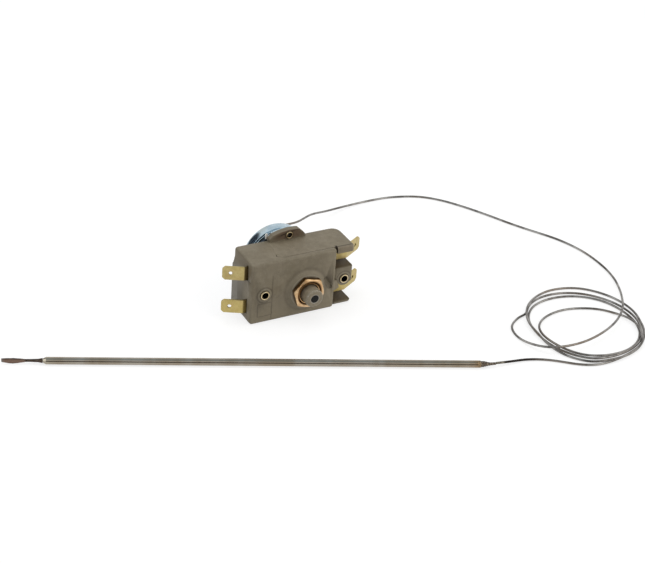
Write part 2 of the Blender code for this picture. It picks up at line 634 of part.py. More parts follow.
def rear_base():
    """Back wall with the ear, the guides for the bridge, and the open right end."""
    far = 0.002
    right = BODY_WIDTH + far
    body = box("rear_base", (SIDE_WALL, 0, 0), (POCKET_X, BODY_DEPTH, BODY_HEIGHT), CERAMIC, EDGE_ROUND)
    right_end = box("add_right_end", (CAVITY_RIGHT - far, RIGHT_FRONT, 0),
                    (BODY_WIDTH, BODY_DEPTH, BODY_HEIGHT), rounding=EDGE_ROUND)
    round_upright(right_end, (BODY_WIDTH, BODY_DEPTH), BACK_CORNER_ROUND)
    boolean(body, right_end, "UNION")
    ear = outline("add_ear", EAR_OUTLINE, BODY_DEPTH - EAR_DEPTH, BODY_DEPTH, across="Y")
    boolean(body, ear, "UNION")
    gap = SEAT_GAP
    before_seam = outline("cut_before_seam", [
        (-far, -far), (POCKET_X, -far), (POCKET_X, SLIT_DEPTH), (COVER_WIDTH, SLIT_DEPTH),
        (COVER_WIDTH, FRONT_WALL + gap), (SEAM_BEND[0] + gap / 2, FRONT_WALL + gap),
        (SEAM_NOTCH[0] + 1.6 * gap, SEAM_NOTCH[1] + gap / 3), (SEAM_REAR_X + gap, SEAM_REAR_Y),
        (SEAM_REAR_X + gap, BODY_DEPTH + far), (-far, BODY_DEPTH + far),
    ], -far, BODY_HEIGHT + far)
    boolean(body, before_seam)
    cavity = box("cut_rear_cavity", (SIDE_WALL, -far, FLOOR_WALL), (CAVITY_RIGHT, CAVITY_BACK, CAVITY_TOP))
    boolean(body, cavity)
    lip_back = RIGHT_FRONT + POCKET_LIP_DEPTH
    for name, low, high in (
        ("cut_upper_pocket", (POCKET_X, lip_back, BLOCK_TOP), (right, POCKET_BACK, CAVITY_TOP)),
        ("cut_upper_mouth", (POCKET_X, -far, BLOCK_TOP), (right, 2 * lip_back, UPPER_LIP_BOTTOM)),
        ("cut_lower_pocket", (POCKET_X, -far, POCKET_FLOOR), (right, POCKET_BACK, BLOCK_BOTTOM)),
    ):
        boolean(body, box(name, low, high))
    boss = disc("add_rivet_boss", RIVET_RIGHT, RIVET_BOSS_RADIUS, RIGHT_FRONT, lip_back)
    boolean(body, boss, "UNION")
    rib_low, rib_high = CUP_Z - BRIDGE_TAIL_HEIGHT / 2, CUP_Z + BRIDGE_TAIL_HEIGHT / 2
    for side, sign in (("left", -1), ("right", 1)):
        inner = BRIDGE_X + sign * (BRIDGE_WIDTH / 2 + SEAT_GAP)
        outer = inner + sign * GUIDE_RIB
        rib = box(f"add_guide_{side}", (min(inner, outer), CAVITY_BACK - GUIDE_RIB_DEPTH, rib_low),
                  (max(inner, outer), CAVITY_BACK + BACK_WALL / 2, rib_high))
        boolean(body, rib, "UNION")
    stop = box("add_snap_stop", (SNAP_RIGHT_X + SEAT_GAP, PLATE_FRONT, rib_low),
               (SNAP_RIGHT_X + SEAT_GAP + SNAP_STOP, CAVITY_BACK + BACK_WALL / 2, rib_high))
    boolean(body, stop, "UNION")
    rivet_bore(body, "cut_right_rivet", RIVET_RIGHT)
    rivet_bore(body, "cut_ear_rivet", RIVET_EAR, EAR_RIVET_SCALE)
    boolean(body, disc("cut_pusher_hole", (CUP_X, CUP_Z), PUSHER_RADIUS + RUNNING_GAP,
                       CAVITY_BACK - far, BODY_DEPTH + far, steps=24))
    boolean(body, disc("cut_screw_hole", (SCREW_X, CUP_Z), SCREW_RADIUS + RUNNING_GAP,
                       CAVITY_BACK - far, BODY_DEPTH + far, steps=24))
    terminal_slots(body, "right", CAVITY_RIGHT - far / 4, POCKET_X + far / 4, TAB_RIGHT_Y)


def threaded_bush():
    """Brass bush: a cup for the button in front, a flange behind the front plate."""
    turned("threaded_bush", [
        (BUSH_BORE, -BUSH_FRONT), (BUSH_RADIUS - BUSH_CHAMFER, -BUSH_FRONT),
        (BUSH_RADIUS, -BUSH_FRONT - BUSH_CHAMFER), (BUSH_RADIUS, -BUSH_FLANGE_FRONT),
        (BUSH_FLANGE_RADIUS, -BUSH_FLANGE_FRONT), (BUSH_FLANGE_RADIUS, -BUSH_BACK),
        (BUTTON_ROD_RADIUS + RUNNING_GAP, -BUSH_BACK), (BUTTON_ROD_RADIUS + RUNNING_GAP, -BUSH_FLOOR),
        (BUSH_BORE, -BUSH_FLOOR),
    ], (BUSH_X, 0.0, BUSH_Z), BRASS, closed=True)


def hex_nut():
    """Flat hexagon with its front corners turned off, bored to clear the thread."""
    corner = NUT_ACROSS_FLATS / 2 / math.cos(math.pi / 6)

    def build(shape):
        bmesh.ops.create_cone(shape, cap_ends=True, segments=6, radius1=corner, radius2=corner,
                              depth=NUT_THICK)

    nut = place("hex_nut", mesh_from("hex_nut", build), BRASS,
                (BUSH_X, (NUT_FRONT + NUT_BACK) / 2, BUSH_Z))
    nut.rotation_euler = (math.radians(90), NUT_TURN, 0.0)
    nut.rotation_mode = "XYZ"
    flat = NUT_ACROSS_FLATS / 2
    chamfer = turned("keep_nut_chamfer", [
        (0.0, -NUT_FRONT + NUT_CHAMFER), (flat - 2.4 * NUT_CHAMFER, -NUT_FRONT + NUT_CHAMFER),
        (corner + NUT_CHAMFER, -NUT_FRONT - 1.6 * NUT_CHAMFER), (corner + NUT_CHAMFER, -NUT_BACK - NUT_CHAMFER),
        (0.0, -NUT_BACK - NUT_CHAMFER),
    ], (BUSH_X, 0.0, BUSH_Z), steps=48)
    boolean(nut, chamfer, "INTERSECT")
    bore = disc("cut_nut_bore", (BUSH_X, BUSH_Z), BUSH_RADIUS + RUNNING_GAP, 2 * NUT_FRONT, FRONT_WALL)
    boolean(nut, bore)


def reset_button():
    """Button cap with a pocket for its spring, and the rod that reaches the trip bridge."""
    skirt_end = NUT_FRONT + BUTTON_SKIRT
    recess = BUTTON_FRONT + PIN_SUNK + PIN_LENGTH + SEAT_GAP
    hole = PIN_RADIUS + RUNNING_GAP
    button = turned("reset_button", [
        (0.0, -recess), (hole, -recess), (hole, -BUTTON_FRONT),
        (BUTTON_RADIUS - BUTTON_EDGE, -BUTTON_FRONT),
        (BUTTON_RADIUS - 0.3 * BUTTON_EDGE, -BUTTON_FRONT - 0.3 * BUTTON_EDGE),
        (BUTTON_RADIUS, -BUTTON_FRONT - BUTTON_EDGE), (BUTTON_RADIUS, -skirt_end),
        (BUTTON_RADIUS - BUTTON_WALL, -skirt_end),
        (BUTTON_RADIUS - BUTTON_WALL, -skirt_end + BUTTON_POCKET),
        (BUTTON_ROD_RADIUS, -skirt_end + BUTTON_POCKET), (BUTTON_ROD_RADIUS, -ROD_END), (0.0, -ROD_END),
    ], (BUSH_X, 0.0, BUSH_Z), BUTTON_PLASTIC, steps=36)
    pin = disc("reset_pin", (BUSH_X, BUSH_Z), PIN_RADIUS, BUTTON_FRONT + PIN_SUNK,
               BUTTON_FRONT + PIN_SUNK + PIN_LENGTH, DARK_PIN, steps=28)
    carry(RESET_AXIS, button, pin)

    start = skirt_end - BUTTON_POCKET + SEAT_GAP + SPRING_WIRE / 2
    end = BUSH_FLOOR - SEAT_GAP - SPRING_WIRE / 2
    count = 10 * SPRING_TURNS + 1
    helix = []
    for i in range(count):
        share = i / (count - 1)
        angle = 2 * math.pi * SPRING_TURNS * share
        helix.append((BUSH_X + SPRING_RADIUS * math.cos(angle), start + (end - start) * share,
                      BUSH_Z + SPRING_RADIUS * math.sin(angle)))
    spring = tube("button_spring", helix, SPRING_WIRE / 2, SPRING_STEEL)
    spring.data.bevel_resolution = 1


def hollow_rivet(name, centre, front, back, scale=1.0):
    """Eyelet: a tube with a rolled ring at each end."""
    tube_radius, hole = RIVET_TUBE_RADIUS * scale, RIVET_HOLE_RADIUS * scale
    head, height = RIVET_HEAD_RADIUS * scale, RIVET_HEAD_HEIGHT
    top, bottom = -front + SEAT_GAP + height, -back - SEAT_GAP - height
    turned(name, [
        (hole, top - height / 2), ((hole + tube_radius) / 2, top), ((tube_radius + head) / 2, top),
        (head, top - height / 2), (head, top - height), (tube_radius, top - height),
        (tube_radius, bottom + height), (head, bottom + height), (head, bottom + height / 2),
        ((tube_radius + head) / 2, bottom), ((hole + tube_radius) / 2, bottom), (hole, bottom + height / 2),
    ], (centre[0], 0.0, centre[1]), BRASS, steps=20, closed=True)


def blade_tip(bend, length, angle, side, z):
    """Rows from the bend to the chamfered tip of a blade that leans backwards."""
    along = Vector((side * math.cos(angle), math.sin(angle), 0.0))
    rows = []
    for distance, half in ((length - TAB_CHAMFER, TAB_HEIGHT / 2), (length, TAB_HEIGHT / 2 - TAB_CHAMFER)):
        point = bend + along * distance
        rows.append((point + Vector((0, 0, z - half)), point + Vector((0, 0, z + half))))
    hole = bend + along * (length - TAB_HOLE_FROM_TIP)
    return rows, Vector((hole.x, hole.y, z)), Vector((-side * along.y, side * along.x, 0.0))


def terminal(name, side, z, inner_path, bend, length, angle, contact_hole):
    """A blade terminal: bent strip, chamfered tip, tip hole and a rivet hole at its inner end."""
    bend = Vector((*bend, 0.0))
    tip_rows, hole, across = blade_tip(bend, length, angle, side, z)
    tip_point = (tip_rows[0][0] + tip_rows[0][1]) / 2
    corners = [Vector((*point, 0.0)) for point in inner_path] + [bend, Vector((tip_point.x, tip_point.y, 0.0))]
    half = TAB_HEIGHT / 2
    rows = [(point + Vector((0, 0, z - half)), point + Vector((0, 0, z + half)))
            for point in bent_path(corners, TAB_BEND_RADIUS)[:-1]] + tip_rows
    blade = strip(name, rows, TAB_THICK, TAB_BRASS)
    cutter = turned(f"cut_{name}", [(0.0, 0.002), (TAB_HOLE_RADIUS, 0.002), (TAB_HOLE_RADIUS, -0.002),
                                    (0.0, -0.002)], hole, direction=across, steps=20)
    boolean(blade, cutter)
    x, y = contact_hole
    boolean(blade, disc(f"cut_{name}_rivet", (x, z), CONTACT_SHANK_RADIUS + RUNNING_GAP,
                        y - TAB_THICK, y + TAB_THICK, steps=20))


def terminals():
    for level, z in (("upper", TAB_UPPER_Z), ("lower", TAB_LOWER_Z)):
        terminal(f"terminal_left_{level}", -1, z, [(TAB_LEFT_INNER, TAB_LEFT_Y)],
                 (-TAB_LEFT_STRAIGHT, TAB_LEFT_Y), TAB_LEFT_LENGTH, TAB_LEFT_ANGLE,
                 (BLADE_PIVOT_X, TAB_LEFT_Y))
        terminal(f"terminal_right_{level}", 1, z,
                 [(JOG_INNER_X, JOG_Y), (JOG_X, JOG_Y), (JOG_X, TAB_RIGHT_Y)],
                 (TAB_RIGHT_BEND_X, TAB_RIGHT_Y), TAB_RIGHT_LENGTH, TAB_RIGHT_ANGLE,
                 (CONTACT_X, JOG_Y))


def contact_rivet(name, x, z, head_face, head_back, upset_front, upset_back, material):
    """A contact: a wide head on one side of its strip, a shank and a smaller upset head."""
    sign = -1 if head_face < head_back else 1
    profile = [
        (0.0, -head_face), (CONTACT_HEAD_RADIUS, -head_face), (CONTACT_HEAD_RADIUS, -head_back),
        (CONTACT_SHANK_RADIUS, -head_back), (CONTACT_SHANK_RADIUS, -upset_front),
        (CONTACT_UPSET_RADIUS, -upset_front), (CONTACT_UPSET_RADIUS, -upset_back), (0.0, -upset_back),
    ]
    if sign > 0:
        profile.reverse()
    return turned(name, profile, (x, 0.0, z), material, steps=16)


def contacts():
    """Spring blades on the left terminals, with the moving and the fixed contacts."""
    blade_front, blade_back = BLADE_Y - BLADE_THICK / 2, BLADE_Y + BLADE_THICK / 2
    jog_front, jog_back = JOG_Y - TAB_THICK / 2, JOG_Y + TAB_THICK / 2
    tab_front = TAB_LEFT_Y - TAB_THICK / 2
    for level, z in (("upper", TAB_UPPER_Z), ("lower", TAB_LOWER_Z)):
        low, high = z - BLADE_HEIGHT / 2, z + BLADE_HEIGHT / 2
        rows = [((x, BLADE_Y, low), (x, BLADE_Y, high)) for x in (BLADE_RIGHT_X, BLADE_LEFT_X)]
        blade = strip(f"contact_blade_{level}", rows, BLADE_THICK, BRONZE)
        for spot, x in (("root", BLADE_PIVOT_X), ("tip", CONTACT_X)):
            boolean(blade, disc(f"cut_blade_{level}_{spot}", (x, z), CONTACT_SHANK_RADIUS + RUNNING_GAP,
                                BLADE_Y - TAB_THICK, BLADE_Y + TAB_THICK, steps=20))
        moving = contact_rivet(f"moving_contact_{level}", CONTACT_X, z, MOVING_BACK,
                               MOVING_BACK - CONTACT_HEAD, blade_front - SEAT_GAP,
                               blade_front - SEAT_GAP - CONTACT_UPSET, SILVER)
        carry(CONTACT_AXIS, blade, moving)
        contact_rivet(f"fixed_contact_{level}", CONTACT_X, z, FIXED_FRONT, FIXED_FRONT + CONTACT_HEAD,
                      jog_back + SEAT_GAP, jog_back + SEAT_GAP + CONTACT_UPSET, SILVER)
        contact_rivet(f"blade_rivet_{level}", BLADE_PIVOT_X, z, tab_front - SEAT_GAP - CONTACT_UPSET,
                      tab_front - SEAT_GAP, blade_back + SEAT_GAP, blade_back + SEAT_GAP + CONTACT_UPSET,
                      BRASS)


def trip_bridge():
    """Insulating bridge: a tall plate with a nose behind each blade, and a tail between the guides."""
    left, right = BRIDGE_X - BRIDGE_WIDTH / 2, BRIDGE_X + BRIDGE_WIDTH / 2
    low, high = TAB_LOWER_Z - BLADE_HEIGHT / 2, TAB_UPPER_Z + BLADE_HEIGHT / 2
    overhang = BRIDGE_OVERHANG
    bridge = box("trip_bridge", (left, PLATE_FRONT, low - overhang), (right, PLATE_BACK, high + overhang),
                 WHITE_CERAMIC)
    for level, z in (("upper", TAB_UPPER_Z), ("lower", TAB_LOWER_Z)):
        nose = box(f"add_nose_{level}", (left + overhang, NOSE_FRONT, z - BLADE_HEIGHT / 2),
                   (right - overhang, (PLATE_FRONT + PLATE_BACK) / 2, z + BLADE_HEIGHT / 2))
        boolean(bridge, nose, "UNION")
    tail_half = BRIDGE_TAIL_HEIGHT / 2 - overhang
    tail = box("add_bridge_tail", (left + overhang, (PLATE_FRONT + PLATE_BACK) / 2, CUP_Z - tail_half),
               (right - overhang, BRIDGE_BACK, CUP_Z + tail_half))
    boolean(bridge, tail, "UNION")
    carry(TRIP_AXIS, bridge)


def snap_spring():
    """Bowed steel leaf between the bridge and its stop, pressed by the calibration screw."""
    low, high = CUP_Z - SNAP_HEIGHT / 2, CUP_Z + SNAP_HEIGHT / 2
    base_y = CAVITY_BACK - GUIDE_RIB_DEPTH + SNAP_THICK
    rows = []
    for i in range(13):
        share = i / 12
        x = SNAP_LEFT_X + (SNAP_RIGHT_X - SNAP_LEFT_X) * share
        y = base_y + SNAP_RISE * math.sin(math.pi * share)
        rows.append(((x, y, low), (x, y, high)))
    strip("snap_spring", rows, SNAP_THICK, SPRING_STEEL)

    crown = base_y + SNAP_RISE + SNAP_THICK / 2
    screw_back = BODY_DEPTH - SEAT_GAP
    screw = disc("calibration_screw", (SCREW_X, CUP_Z), SCREW_RADIUS, crown + 2 * SEAT_GAP, screw_back,
                 BRASS, steps=24)
    half = SCREW_SLOT / 2
    slot = box("cut_screw_slot", (SCREW_X - 2 * SCREW_RADIUS, screw_back - SCREW_SLOT, CUP_Z - half),
               (SCREW_X + 2 * SCREW_RADIUS, screw_back + SCREW_SLOT, CUP_Z + half))
    boolean(screw, slot)


def level_rows(points, low, high, radius):
    """Rows of a strip that is bent in plan and stands upright between two heights."""
    path = bent_path([(x, y, 0.0) for x, y in points], radius)
    return [((p.x, p.y, low), (p.x, p.y, high)) for p in path]


def mount_frame():
    """Zinc-plated steel frame: round web behind, two side legs and a top leg with riveted feet."""
    foot_y = FOOT_FRONT + SHEET / 2
    web_front = CUP_FRONT + CUP_LIP + SEAT_GAP
    web_y = web_front + SHEET / 2
    frame = disc("mount_frame", (CUP_X, CUP_Z), CUP_RADIUS - SHEET - SEAT_GAP, web_front, web_front + SHEET,
                 ZINC, steps=48)
    low, high = CUP_Z - FRAME_LEG_HALF, CUP_Z + FRAME_LEG_HALF
    for side, sign, foot_x in (("left", -1, FOOT_END_MARGIN), ("right", 1, BODY_WIDTH - FOOT_END_MARGIN)):
        leg_x = CUP_X + sign * FRAME_LEG_OFFSET
        points = [(foot_x, foot_y), (leg_x, foot_y), (leg_x, web_y), (CUP_X + sign * PUSHER_RADIUS * 2, web_y)]
        leg = strip(f"add_leg_{side}", level_rows(points, low, high, FRAME_BEND), SHEET)
        boolean(frame, leg, "UNION")
    top_z = CUP_Z + FRAME_TOP_OFFSET
    points = [(0.0, foot_y, RIVET_EAR[1]), (0.0, foot_y, top_z), (0.0, web_y, top_z),
              (0.0, web_y, CUP_Z + 2 * PUSHER_RADIUS)]
    rows = [((CUP_X - FRAME_TOP_HALF, p.y, p.z), (CUP_X + FRAME_TOP_HALF, p.y, p.z))
            for p in bent_path(points, FRAME_BEND)]
    boolean(frame, strip("add_leg_top", rows, SHEET), "UNION")
    middle_x = sum(x for x, z in EAR_OUTLINE) / len(EAR_OUTLINE)
    foot_outline = []
    for x, z in EAR_OUTLINE:
        inset = EAR_FOOT_INSET if x < middle_x else -EAR_FOOT_INSET
        foot_outline.append((x + inset, z - EAR_FOOT_INSET))
    ear_foot = outline("add_ear_foot", foot_outline, FOOT_FRONT, FOOT_BACK, across="Y")
    boolean(frame, ear_foot, "UNION")
    boolean(frame, disc("cut_frame_pusher", (CUP_X, CUP_Z), PUSHER_RADIUS + SEAT_GAP,
                        web_front - SHEET, web_front + 2 * SHEET, steps=24))
    for name, centre, scale in (("left", RIVET_LEFT, 1.0), ("right", RIVET_RIGHT, 1.0),
                                ("ear", RIVET_EAR, EAR_RIVET_SCALE)):
        radius = RIVET_TUBE_RADIUS * scale + RUNNING_GAP
        boolean(frame, disc(f"cut_frame_{name}", centre, radius, BODY_DEPTH, FOOT_BACK + SHEET, steps=24))


def diaphragm_cup():
    """Drawn cup, its front rim turned in round the frame's web, its back pierced for the ferrule."""
    inner = CUP_RADIUS - SHEET
    hole = FERRULE_RADIUS + SEAT_GAP
    rim = [(inner - CUP_LIP, -CUP_FRONT), (CUP_RADIUS - CUP_LIP, -CUP_FRONT),
           (CUP_RADIUS, -CUP_FRONT - CUP_LIP)]
    corner = []
    for i in range(5):
        angle = math.pi / 2 * i / 4
        corner.append((math.cos(angle), math.sin(angle)))
    centre_r, centre_y = CUP_RADIUS - CUP_CORNER, CUP_BACK - CUP_CORNER
    outer_corner = [(centre_r + CUP_CORNER * c, -centre_y - CUP_CORNER * s) for c, s in corner]
    inner_radius = CUP_CORNER - SHEET
    inner_corner = [(centre_r + inner_radius * c, -centre_y - inner_radius * s) for c, s in reversed(corner)]
    turned("diaphragm_cup", rim + outer_corner + [(hole, -CUP_BACK), (hole, -CUP_BACK + SHEET)]
           + inner_corner + [(inner, -CUP_FRONT - CUP_LIP), (inner - CUP_LIP, -CUP_FRONT - CUP_LIP)],
           (CUP_X, 0.0, CUP_Z), ZINC, steps=44, closed=True)

    capsule_front = CUP_FRONT + CUP_LIP + 2 * SHEET + 2 * SEAT_GAP
    capsule_middle = capsule_front + CAPSULE_THICK / 2
    half = CAPSULE_THICK / 2 - CAPSULE_WAVE
    samples = 4 * CAPSULE_WAVES
    faces = []
    for i in range(samples + 1):
        radius = CAPSULE_RADIUS * i / samples
        fade = 1.0 if i < samples else 0.25
        wave = CAPSULE_WAVE * math.cos(2 * math.pi * CAPSULE_WAVES * i / samples)
        faces.append((radius, (half + wave) * fade))
    front = [(radius, -capsule_middle + height) for radius, height in faces]
    back = [(radius, -capsule_middle - height) for radius, height in reversed(faces)]
    turned("diaphragm_capsule", front + back, (CUP_X, 0.0, CUP_Z), SPRING_STEEL, steps=32)

    carry(TRIP_AXIS, disc("transmission_pin", (CUP_X, CUP_Z), PUSHER_RADIUS, BRIDGE_BACK + SEAT_GAP,
                          capsule_front - SEAT_GAP, WHITE_CERAMIC, steps=24))

    inside = capsule_front + CAPSULE_THICK + SEAT_GAP
    flange = CUP_BACK + SEAT_GAP
    turned("capillary_ferrule", [
        (0.0, -inside), (FERRULE_RADIUS, -inside), (FERRULE_RADIUS, -flange),
        (FERRULE_FLANGE, -flange), (FERRULE_FLANGE, -flange - FERRULE_FLANGE_THICK),
        (FERRULE_RADIUS * 0.8, -flange - FERRULE_FLANGE_THICK),
        (CAPILLARY_RADIUS * 1.6, -FERRULE_BACK), (0.0, -FERRULE_BACK),
    ], (CUP_X, 0.0, CUP_Z), BRAZE, steps=32)


def capillary():
    """The lead from the cup over the coil, the coil's outer shape and the tail to the bulb."""
    tube("capillary_lead", smooth_route(LEAD_ROUTE, LEAD_SAMPLES), CAPILLARY_RADIUS, CAPILLARY_METAL)
    base = CAPILLARY_RADIUS / 5
    edge = (COIL_HEIGHT - base) / 4
    turned("capillary_coil", [
        (COIL_INNER, COIL_HEIGHT - edge), (COIL_INNER + edge, COIL_HEIGHT),
        (COIL_OUTER - edge, COIL_HEIGHT), (COIL_OUTER, COIL_HEIGHT - edge), (COIL_OUTER, base + edge),
        (COIL_OUTER - edge, base), (COIL_INNER + edge, base), (COIL_INNER, base + edge),
    ], (*COIL_CENTRE, 0.0), CAPILLARY_METAL, direction=(0, 0, 1), steps=40, closed=True)
    tube("capillary_tail", smooth_route(TAIL_ROUTE, TAIL_SAMPLES), CAPILLARY_RADIUS, CAPILLARY_METAL)


def loft(name, sections, material, sides=16):
    """A closed skin through elliptical sections: (centre, direction, half width, half height)."""
    def build(shape):
        rings = []
        for centre, along, half_width, half_height in sections:
            across = Vector((-along.y, along.x, 0.0)).normalized()
            ring = []
            for i in range(sides):
                angle = 2 * math.pi * i / sides
                offset = across * half_width * math.cos(angle) + Vector((0, 0, half_height * math.sin(angle)))
                ring.append(shape.verts.new(centre + offset))
            rings.append(ring)
        for first, second in zip(rings, rings[1:]):
            for i in range(sides):
                j = (i + 1) % sides
                shape.faces.new((first[i], first[j], second[j], second[i]))
        shape.faces.new(rings[0][::-1])
        shape.faces.new(rings[-1])
        bmesh.ops.recalc_face_normals(shape, faces=shape.faces)

    data = mesh_from(name, build)
    smooth_shade(data)
    place(name, data, material)


def bulb():
    """Rod-shaped bulb on its side, its crimped filling tube and its brazed neck."""
    left = Vector((*BULB_LEFT, BULB_RADIUS))
    right = Vector((*BULB_RIGHT, BULB_RADIUS))
    along = (right - left).normalized()
    length = (right - left).length
    turned("sensor_bulb", [
        (0.0, length), (NECK_RADIUS + SEAT_GAP, length), (BULB_RADIUS, length - BULB_TAPER),
        (BULB_RADIUS, BULB_TAPER), (NECK_RADIUS, 0.0), (0.0, 0.0),
    ], left, BULB_METAL, direction=along, steps=24)
    tail_end, tail_next = Vector(TAIL_ROUTE[-1]), Vector(TAIL_ROUTE[-2])
    to_tail = (tail_next - tail_end).normalized()
    start, end = right + along * SEAT_GAP, tail_end - to_tail * SEAT_GAP
    knee = start + along * NECK_BEND
    neck = []
    for share, radius in ((0.0, NECK_RADIUS), (0.3, 0.9 * NECK_RADIUS), (0.6, 1.4 * CAPILLARY_RADIUS),
                          (1.0, 1.1 * CAPILLARY_RADIUS)):
        centre = start.lerp(knee, share).lerp(knee.lerp(end, share), share)
        neck.append((centre, along.lerp(to_tail, share), radius, radius))
    loft("bulb_neck", neck, BRAZE)

    tip = FILL_NECK_LENGTH + FILL_BLADE_LENGTH
    blade = (FILL_BLADE_HALF_THICK, FILL_BLADE_HALF_HEIGHT)
    start = left - along * SEAT_GAP
    loft("bulb_fill_tube", [(start - along * distance, -along, *halves) for distance, halves in (
        (0.0, (FILL_NECK_RADIUS, FILL_NECK_RADIUS)),
        (FILL_NECK_LENGTH * 0.8, (FILL_NECK_RADIUS, FILL_NECK_RADIUS)),
        (FILL_NECK_LENGTH, (FILL_NECK_RADIUS * 0.75, FILL_NECK_RADIUS * 1.25)),
        (FILL_NECK_LENGTH + FILL_BLADE_LENGTH * 0.2, blade),
        (tip - FILL_BLADE_LENGTH * 0.1, blade),
        (tip, (FILL_BLADE_HALF_THICK * 0.8, FILL_BLADE_HALF_HEIGHT * 0.85)),
    )], BRAZE)


RESET_AXIS = joint_axis("reset_axis", (BUSH_X, 0.0, BUSH_Z))
TRIP_AXIS = joint_axis("trip_axis", (CUP_X, BRIDGE_BACK, CUP_Z))
CONTACT_AXIS = joint_axis("contact_axis", (BLADE_PIVOT_X, BLADE_Y, CUP_Z))

front_housing()
rear_base()
threaded_bush()
hex_nut()
reset_button()
hollow_rivet("rivet_left", RIVET_LEFT, -RIVET_PAD, FOOT_BACK)
hollow_rivet("rivet_right", RIVET_RIGHT, RIGHT_FRONT, FOOT_BACK)
hollow_rivet("rivet_ear", RIVET_EAR, BODY_DEPTH - EAR_DEPTH, FOOT_BACK, EAR_RIVET_SCALE)
terminals()
contacts()
trip_bridge()
snap_spring()
mount_frame()
diaphragm_cup()
capillary()
bulb()

bpy.context.view_layer.update()
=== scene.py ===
"""Looks of a capillary temperature limiter with a manual reset, on a white studio ground.

Metres, +Z up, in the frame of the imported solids. Lengths of the fine details are in millimetres
where a name ends in _MM, and MM turns them into metres.
"""
import json
import math

import bmesh
import bpy
import numpy as np
from mathutils import Matrix, Vector


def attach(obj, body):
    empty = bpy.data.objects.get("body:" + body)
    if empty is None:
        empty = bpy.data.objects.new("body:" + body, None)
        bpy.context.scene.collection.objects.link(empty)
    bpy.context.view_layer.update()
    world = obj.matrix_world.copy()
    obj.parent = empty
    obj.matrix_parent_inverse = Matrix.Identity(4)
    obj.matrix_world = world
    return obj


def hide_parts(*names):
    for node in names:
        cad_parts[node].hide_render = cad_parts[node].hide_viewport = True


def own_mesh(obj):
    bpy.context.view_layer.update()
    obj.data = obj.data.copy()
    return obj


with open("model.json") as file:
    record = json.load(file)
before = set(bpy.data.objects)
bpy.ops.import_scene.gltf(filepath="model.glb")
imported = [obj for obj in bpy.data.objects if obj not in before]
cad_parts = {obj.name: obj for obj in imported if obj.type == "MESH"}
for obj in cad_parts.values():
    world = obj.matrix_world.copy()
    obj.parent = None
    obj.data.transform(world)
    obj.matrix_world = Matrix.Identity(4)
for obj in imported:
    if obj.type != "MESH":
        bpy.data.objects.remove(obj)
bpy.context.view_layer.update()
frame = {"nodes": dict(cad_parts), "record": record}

NODES = frame["nodes"]
MM = 0.001
TURN = 2 * math.pi

# Place of the housing's left front foot, from which every other place is measured
HOUSING_X = -0.023091
HOUSING_Y = -0.0119
HOUSING = np.array([HOUSING_X, HOUSING_Y, 0.0])

# Middles of the turned pieces in X and Z, in the housing's millimetres. A rivet also has the places
# of its two ends in Y, and its size as a share of the full one. The ear's top lies lower by the second
# row, at the places in X of the first.
BUSH = (25.2, 12.3)
CUP = (23.9, 14.4)
RIVETS = {"rivet_left": (6.1, 13.6125, -0.3, 18.8, 1.0), "rivet_right": (44.1, 12.65, 1.3, 18.8, 1.0),
          "rivet_ear": (23.9, 30.7, 15.1, 18.8, 0.78)}
EAR_DROP_MM = ((14.7, 16.6, 20.2, 24.2, 28.6, 31.4), (2.2, 1.9, 1.5, 1.1, 0.6, 0.2))
BLOCK_TOP_MM = 28.6
NUT_FACE_MM = -4.0
NUT_BACK_MM = -1.8
NUT_TURN_DEGREES = -44.0
RIVET_HOLE_MM = 1.44
SAME_PLACE = 0.000001

# The world as a light and as it is seen, and the ground: the grey that lights the object, and the
# darker grey and the glow that are seen, which leave the shadow on a nearly white ground
WHITE = (1.0, 1.0, 1.0, 1.0)
WORLD_LIGHT = 0.42
WORLD_SEEN = 1.0
GROUND_GREY = 0.78
GROUND_SHADOWED = 0.35
GROUND_GLOW = 0.72
GROUND_BELOW = 0.00005

# Where soft clouds turn from one tint into the other
CLOUD_EDGES = (0.35, 0.65)

# Bulb, lying level: the middles of its ends in the housing's millimetres, and the way it runs
BULB_LEFT = np.array([-87.4, 5.2, 1.5])
BULB_RIGHT = np.array([73.9, -62.5, 1.5])
BULB_ALONG = (BULB_RIGHT - BULB_LEFT)[:2] / np.linalg.norm((BULB_RIGHT - BULB_LEFT)[:2])
BULB_TAPER_MM = 1.2

